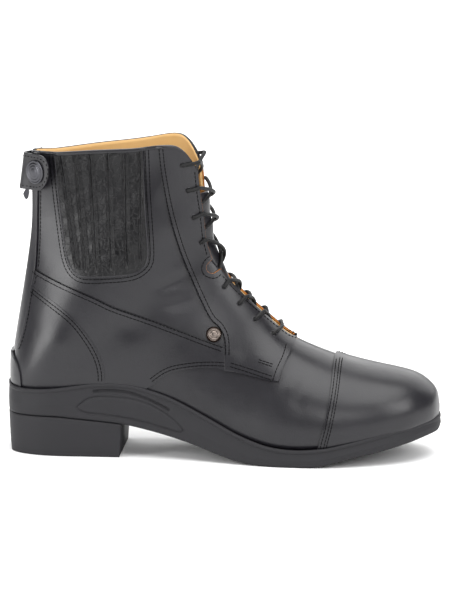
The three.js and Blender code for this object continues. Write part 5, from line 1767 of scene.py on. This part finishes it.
# Woven zip tape
ZIP_TAPE = Finish("zip_tape_weave", "#202023", "#151517", (0.7, 0.85), grain_mm=0.6, grain_depth=0.12,
                  sheen=0.2)


@dataclass
class Studio:
    """Pale floor, soft lights and the camera of a product picture."""

    aim: tuple[float, float, float] = (0.107, 0.0, 0.1025)
    distance: float = 5.0
    azimuth: float = 5.5
    elevation: float = 12.0
    lens: float = 450.0

    def camera(self) -> None:
        """Long lens from the outer side, a little above."""
        data = bpy.data.cameras.new("camera")
        data.lens = self.lens
        data.sensor_width = 36
        data.clip_end = 50
        piece = linked("camera", data)
        turn, lift = math.radians(self.azimuth), math.radians(self.elevation)
        away = Vector((math.sin(turn) * math.cos(lift), -math.cos(turn) * math.cos(lift), math.sin(lift)))
        piece.location = Vector(self.aim) + self.distance * away
        piece.rotation_euler = (-away).to_track_quat("-Z", "Y").to_euler()
        bpy.context.scene.camera = piece

    def light(self, name: str, place: Sequence[float], size: tuple[float, float], power: float) -> None:
        """One soft box aimed at the boot."""
        data = bpy.data.lights.new(name, "AREA")
        data.shape = "RECTANGLE"
        data.size, data.size_y = size
        data.energy = power
        piece = linked(name, data)
        piece.location = place
        piece.rotation_euler = (Vector(self.aim) - Vector(place)).to_track_quat("-Z", "Y").to_euler()

    def build(self) -> None:
        """Floor, lights, world and camera."""
        bm = bmesh.new()
        bmesh.ops.create_grid(bm, x_segments=1, y_segments=1, size=6)
        mesh = bpy.data.meshes.new("floor")
        bm.to_mesh(mesh)
        bm.free()
        floor = linked("floor", mesh)
        paint = Finish("floor_paint", "#ffffff", "#fbfbfb", (0.8, 0.9), grain_depth=0.0, fine_depth=0.001,
                       specular=0.1)
        floor.data.materials.append(paint.material())
        world = bpy.data.worlds.new("studio")
        world.use_nodes = True
        backdrop = world.node_tree.nodes["Background"].inputs
        backdrop["Color"].default_value = (1, 1, 1, 1)
        backdrop["Strength"].default_value = 0.06
        bpy.context.scene.world = world
        self.light("front", (0.7, -2.2, 1.0), (1.2, 0.8), 13)
        self.light("left", (-1.5, -1.1, 0.6), (0.7, 1.2), 23)
        self.light("right", (1.6, -0.9, 0.9), (0.8, 1.1), 16)
        self.light("back", (0.1, 1.9, 1.35), (5.0, 2.2), 70)
        sky = bpy.data.lights.new("sky", "SUN")
        sky.energy = 3.2
        sky.angle = math.radians(60)
        linked("sky", sky).rotation_euler = (math.radians(12), math.radians(6), 0)
        bpy.context.scene.view_settings.view_transform = "Standard"
        self.camera()


def dress(piece: bpy.types.Object, finish: bpy.types.Material,
          lining: bpy.types.Material | None = None) -> None:
    """Gives a piece its material, and a second one where one is given.

    Args:
        piece: the piece.
        finish: its outer material.
        lining: second material, of an inner face or a rim, for pieces that have one.
    """
    piece.data.materials.append(finish)
    if lining is not None:
        piece.data.materials.append(lining)


def notch_ring(form: LastForm, side: Side, radius: float) -> np.ndarray:
    """u and v of the curved seam round the flex notch, from its upper to its lower end."""
    centre = form.on_side(np.array([NOTCH_PLACE]), side)[0]
    per_u, per_v = form.stretch(*centre)
    angle = np.linspace(0.42 * math.pi, 1.58 * math.pi, 60)
    return np.stack([centre[0] + radius * np.sin(angle) / per_u,
                     centre[1] - side.value * radius * np.cos(angle) / per_v], axis=1)


def throat_seam(form: LastForm, side: Side) -> list[tuple[np.ndarray, np.ndarray]]:
    """Frames of the seam along the facing's throat edge and round its flex notch.

    Args:
        form: the last.
        side: side of the boot.

    Returns:
        The frames from the collar down.
    """
    seams = Seams(form)
    edge = LeatherPanels(form).throat_edge(side)
    step = side.value * 0.004
    points = form.at(edge[:, 0], edge[:, 1])
    beside = form.at(edge[:, 0], edge[:, 1] + step)
    inward = edge.copy()
    inward[:, 1] += step * EDGE_SEAM / np.maximum(np.linalg.norm(beside - points, axis=1), 1e-6)
    notch = form.on_side(np.array([NOTCH_PLACE]), side)[0]
    clear = np.linalg.norm(points - form.at(notch[:1], notch[1:])[0], axis=1) > 9.5
    parts = (inward[clear & (edge[:, 0] > notch[0])], notch_ring(form, side, 7.4),
             inward[clear & (edge[:, 0] < notch[0])])
    return [frame for part in parts for frame in seams.frames_along(part, 1.85)]


def stitch_groups(form: LastForm) -> dict[str, list]:
    """Frames of every seam that the leather shows.

    Args:
        form: the last.

    Returns:
        A list of frames for each group of seams.
    """
    seams = Seams(form)
    panels = LeatherPanels(form)
    heights = np.linspace(137, 201.5, 30)
    groups: dict[str, list] = {}
    for side in Side:
        tucks = panels.pleat_lines(heights)[:, 1:7] + 0.35
        pleats = [(f"pleat_{k + 1}", tuple(zip(x, heights)), 1.2, (0.0,)) for k, x in enumerate(tucks.T)]
        for name, line, height, rows in SHAFT_SEAMS:
            groups.setdefault(f"stitches_{name}_{side.word}", []).extend(seams.line(line, side, height, rows))
        groups[f"stitches_throat_{side.word}"] = throat_seam(form, side)
        for name, line, height, rows in (*VAMP_SEAMS, *pleats):
            groups[f"stitches_{name}_{side.word}"] = seams.line(line, side, height, rows)
    return groups


def main() -> None:
    """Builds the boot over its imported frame."""
    logging.basicConfig(level=logging.INFO, format="%(message)s")
    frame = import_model()
    form = LastForm()
    finishes = {f.name: f.material() for f in (
        BLACK_LEATHER, PLEATED_LEATHER, LINING_LEATHER, SOLE_RUBBER, BLACK_METAL, OLD_SILVER, WAXED_CORD,
        THREAD, ZIP_TAPE, CUT_EDGE, PAINTED_HOLE_SHADE, OLD_BRONZE)}
    black, lining = finishes["black_leather"], finishes["lining_leather"]
    Studio().build()

    panels = LeatherPanels(form)
    halves = [panels.body_half(side) for side in Side]
    for half in halves:
        dress(half, black, lining)
        LOG.info("upper half %s", half.name)
    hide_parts("upper")
    for side in Side:
        word = side.word
        for maker, node in ((panels.facing_panel, f"facing_{word}"),
                            (panels.quarter_panel, f"quarter_{word}"),
                            (panels.zip_strip_panel, f"zip_strip_{word}")):
            piece = maker(side)
            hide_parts(node)
            dress(piece, black)
            LOG.info("panel %s", piece.name)
        counter = panels.counter_panel(side)
        if side is Side.LATERAL:
            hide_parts("heel_counter")
        dress(counter, black)
        gusset = panels.gusset_panel(side)
        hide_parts(f"gusset_{word}")
        dress(gusset, finishes["pleated_leather"])
        dress(panels.collar_binding(side), black)
        dress(panels.gusset_edge(side), black)
        dress(panels.throat_rim(side), finishes["cut_edge"])
        dress(panels.slot_rim(side), black)
    for maker, node in ((panels.spur_rest, "spur_rest"), (panels.toe_cap, "toe_cap")):
        piece = maker()
        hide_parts(node)
        dress(piece, black)
        LOG.info("panel %s", piece.name)

    dress(Tongue(form).build(), black, lining)
    sole = Sole()
    for piece in (sole.unit(), sole.heel()):
        dress(piece, finishes["sole_rubber"])
        LOG.info("sole piece %s", piece.name)
    laces = Laces(form)
    for piece in laces.build():
        dress(piece, finishes["waxed_cord"])
    dress(laces.eyelet_rims(), black)
    closure = Closure(form)
    dress(closure.tape(), finishes["zip_tape_weave"])
    dress(closure.teeth(), finishes["black_metal"])
    dress(closure.tab(), black)
    dress(closure.tab_stitches(), finishes["black_thread"])
    dress(closure.cap(), finishes["black_metal"])
    dress(Rivet(form).build(), finishes["antique_silver"], finishes["old_bronze"])
    for name, frames in stitch_groups(form).items():
        dress(Seams(form).build(name, frames), finishes["black_thread"])
        # Painted shade of the needle piercings, as flat dark discs at each stitch end
        holes = Seams(form).holes(name.replace("stitches", "holes"), frames)
        dress(holes, finishes["needle_hole_shade"])
        LOG.info("seam group %s: %d stitches", name, len(frames))
    for node, finish in (("insole", lining), ("zip_slider", finishes["black_metal"]),
                         ("zip_pull", finishes["black_metal"])):
        for slot in frame["nodes"][node].material_slots:
            slot.material = finish


if __name__ == "__main__":
    main()
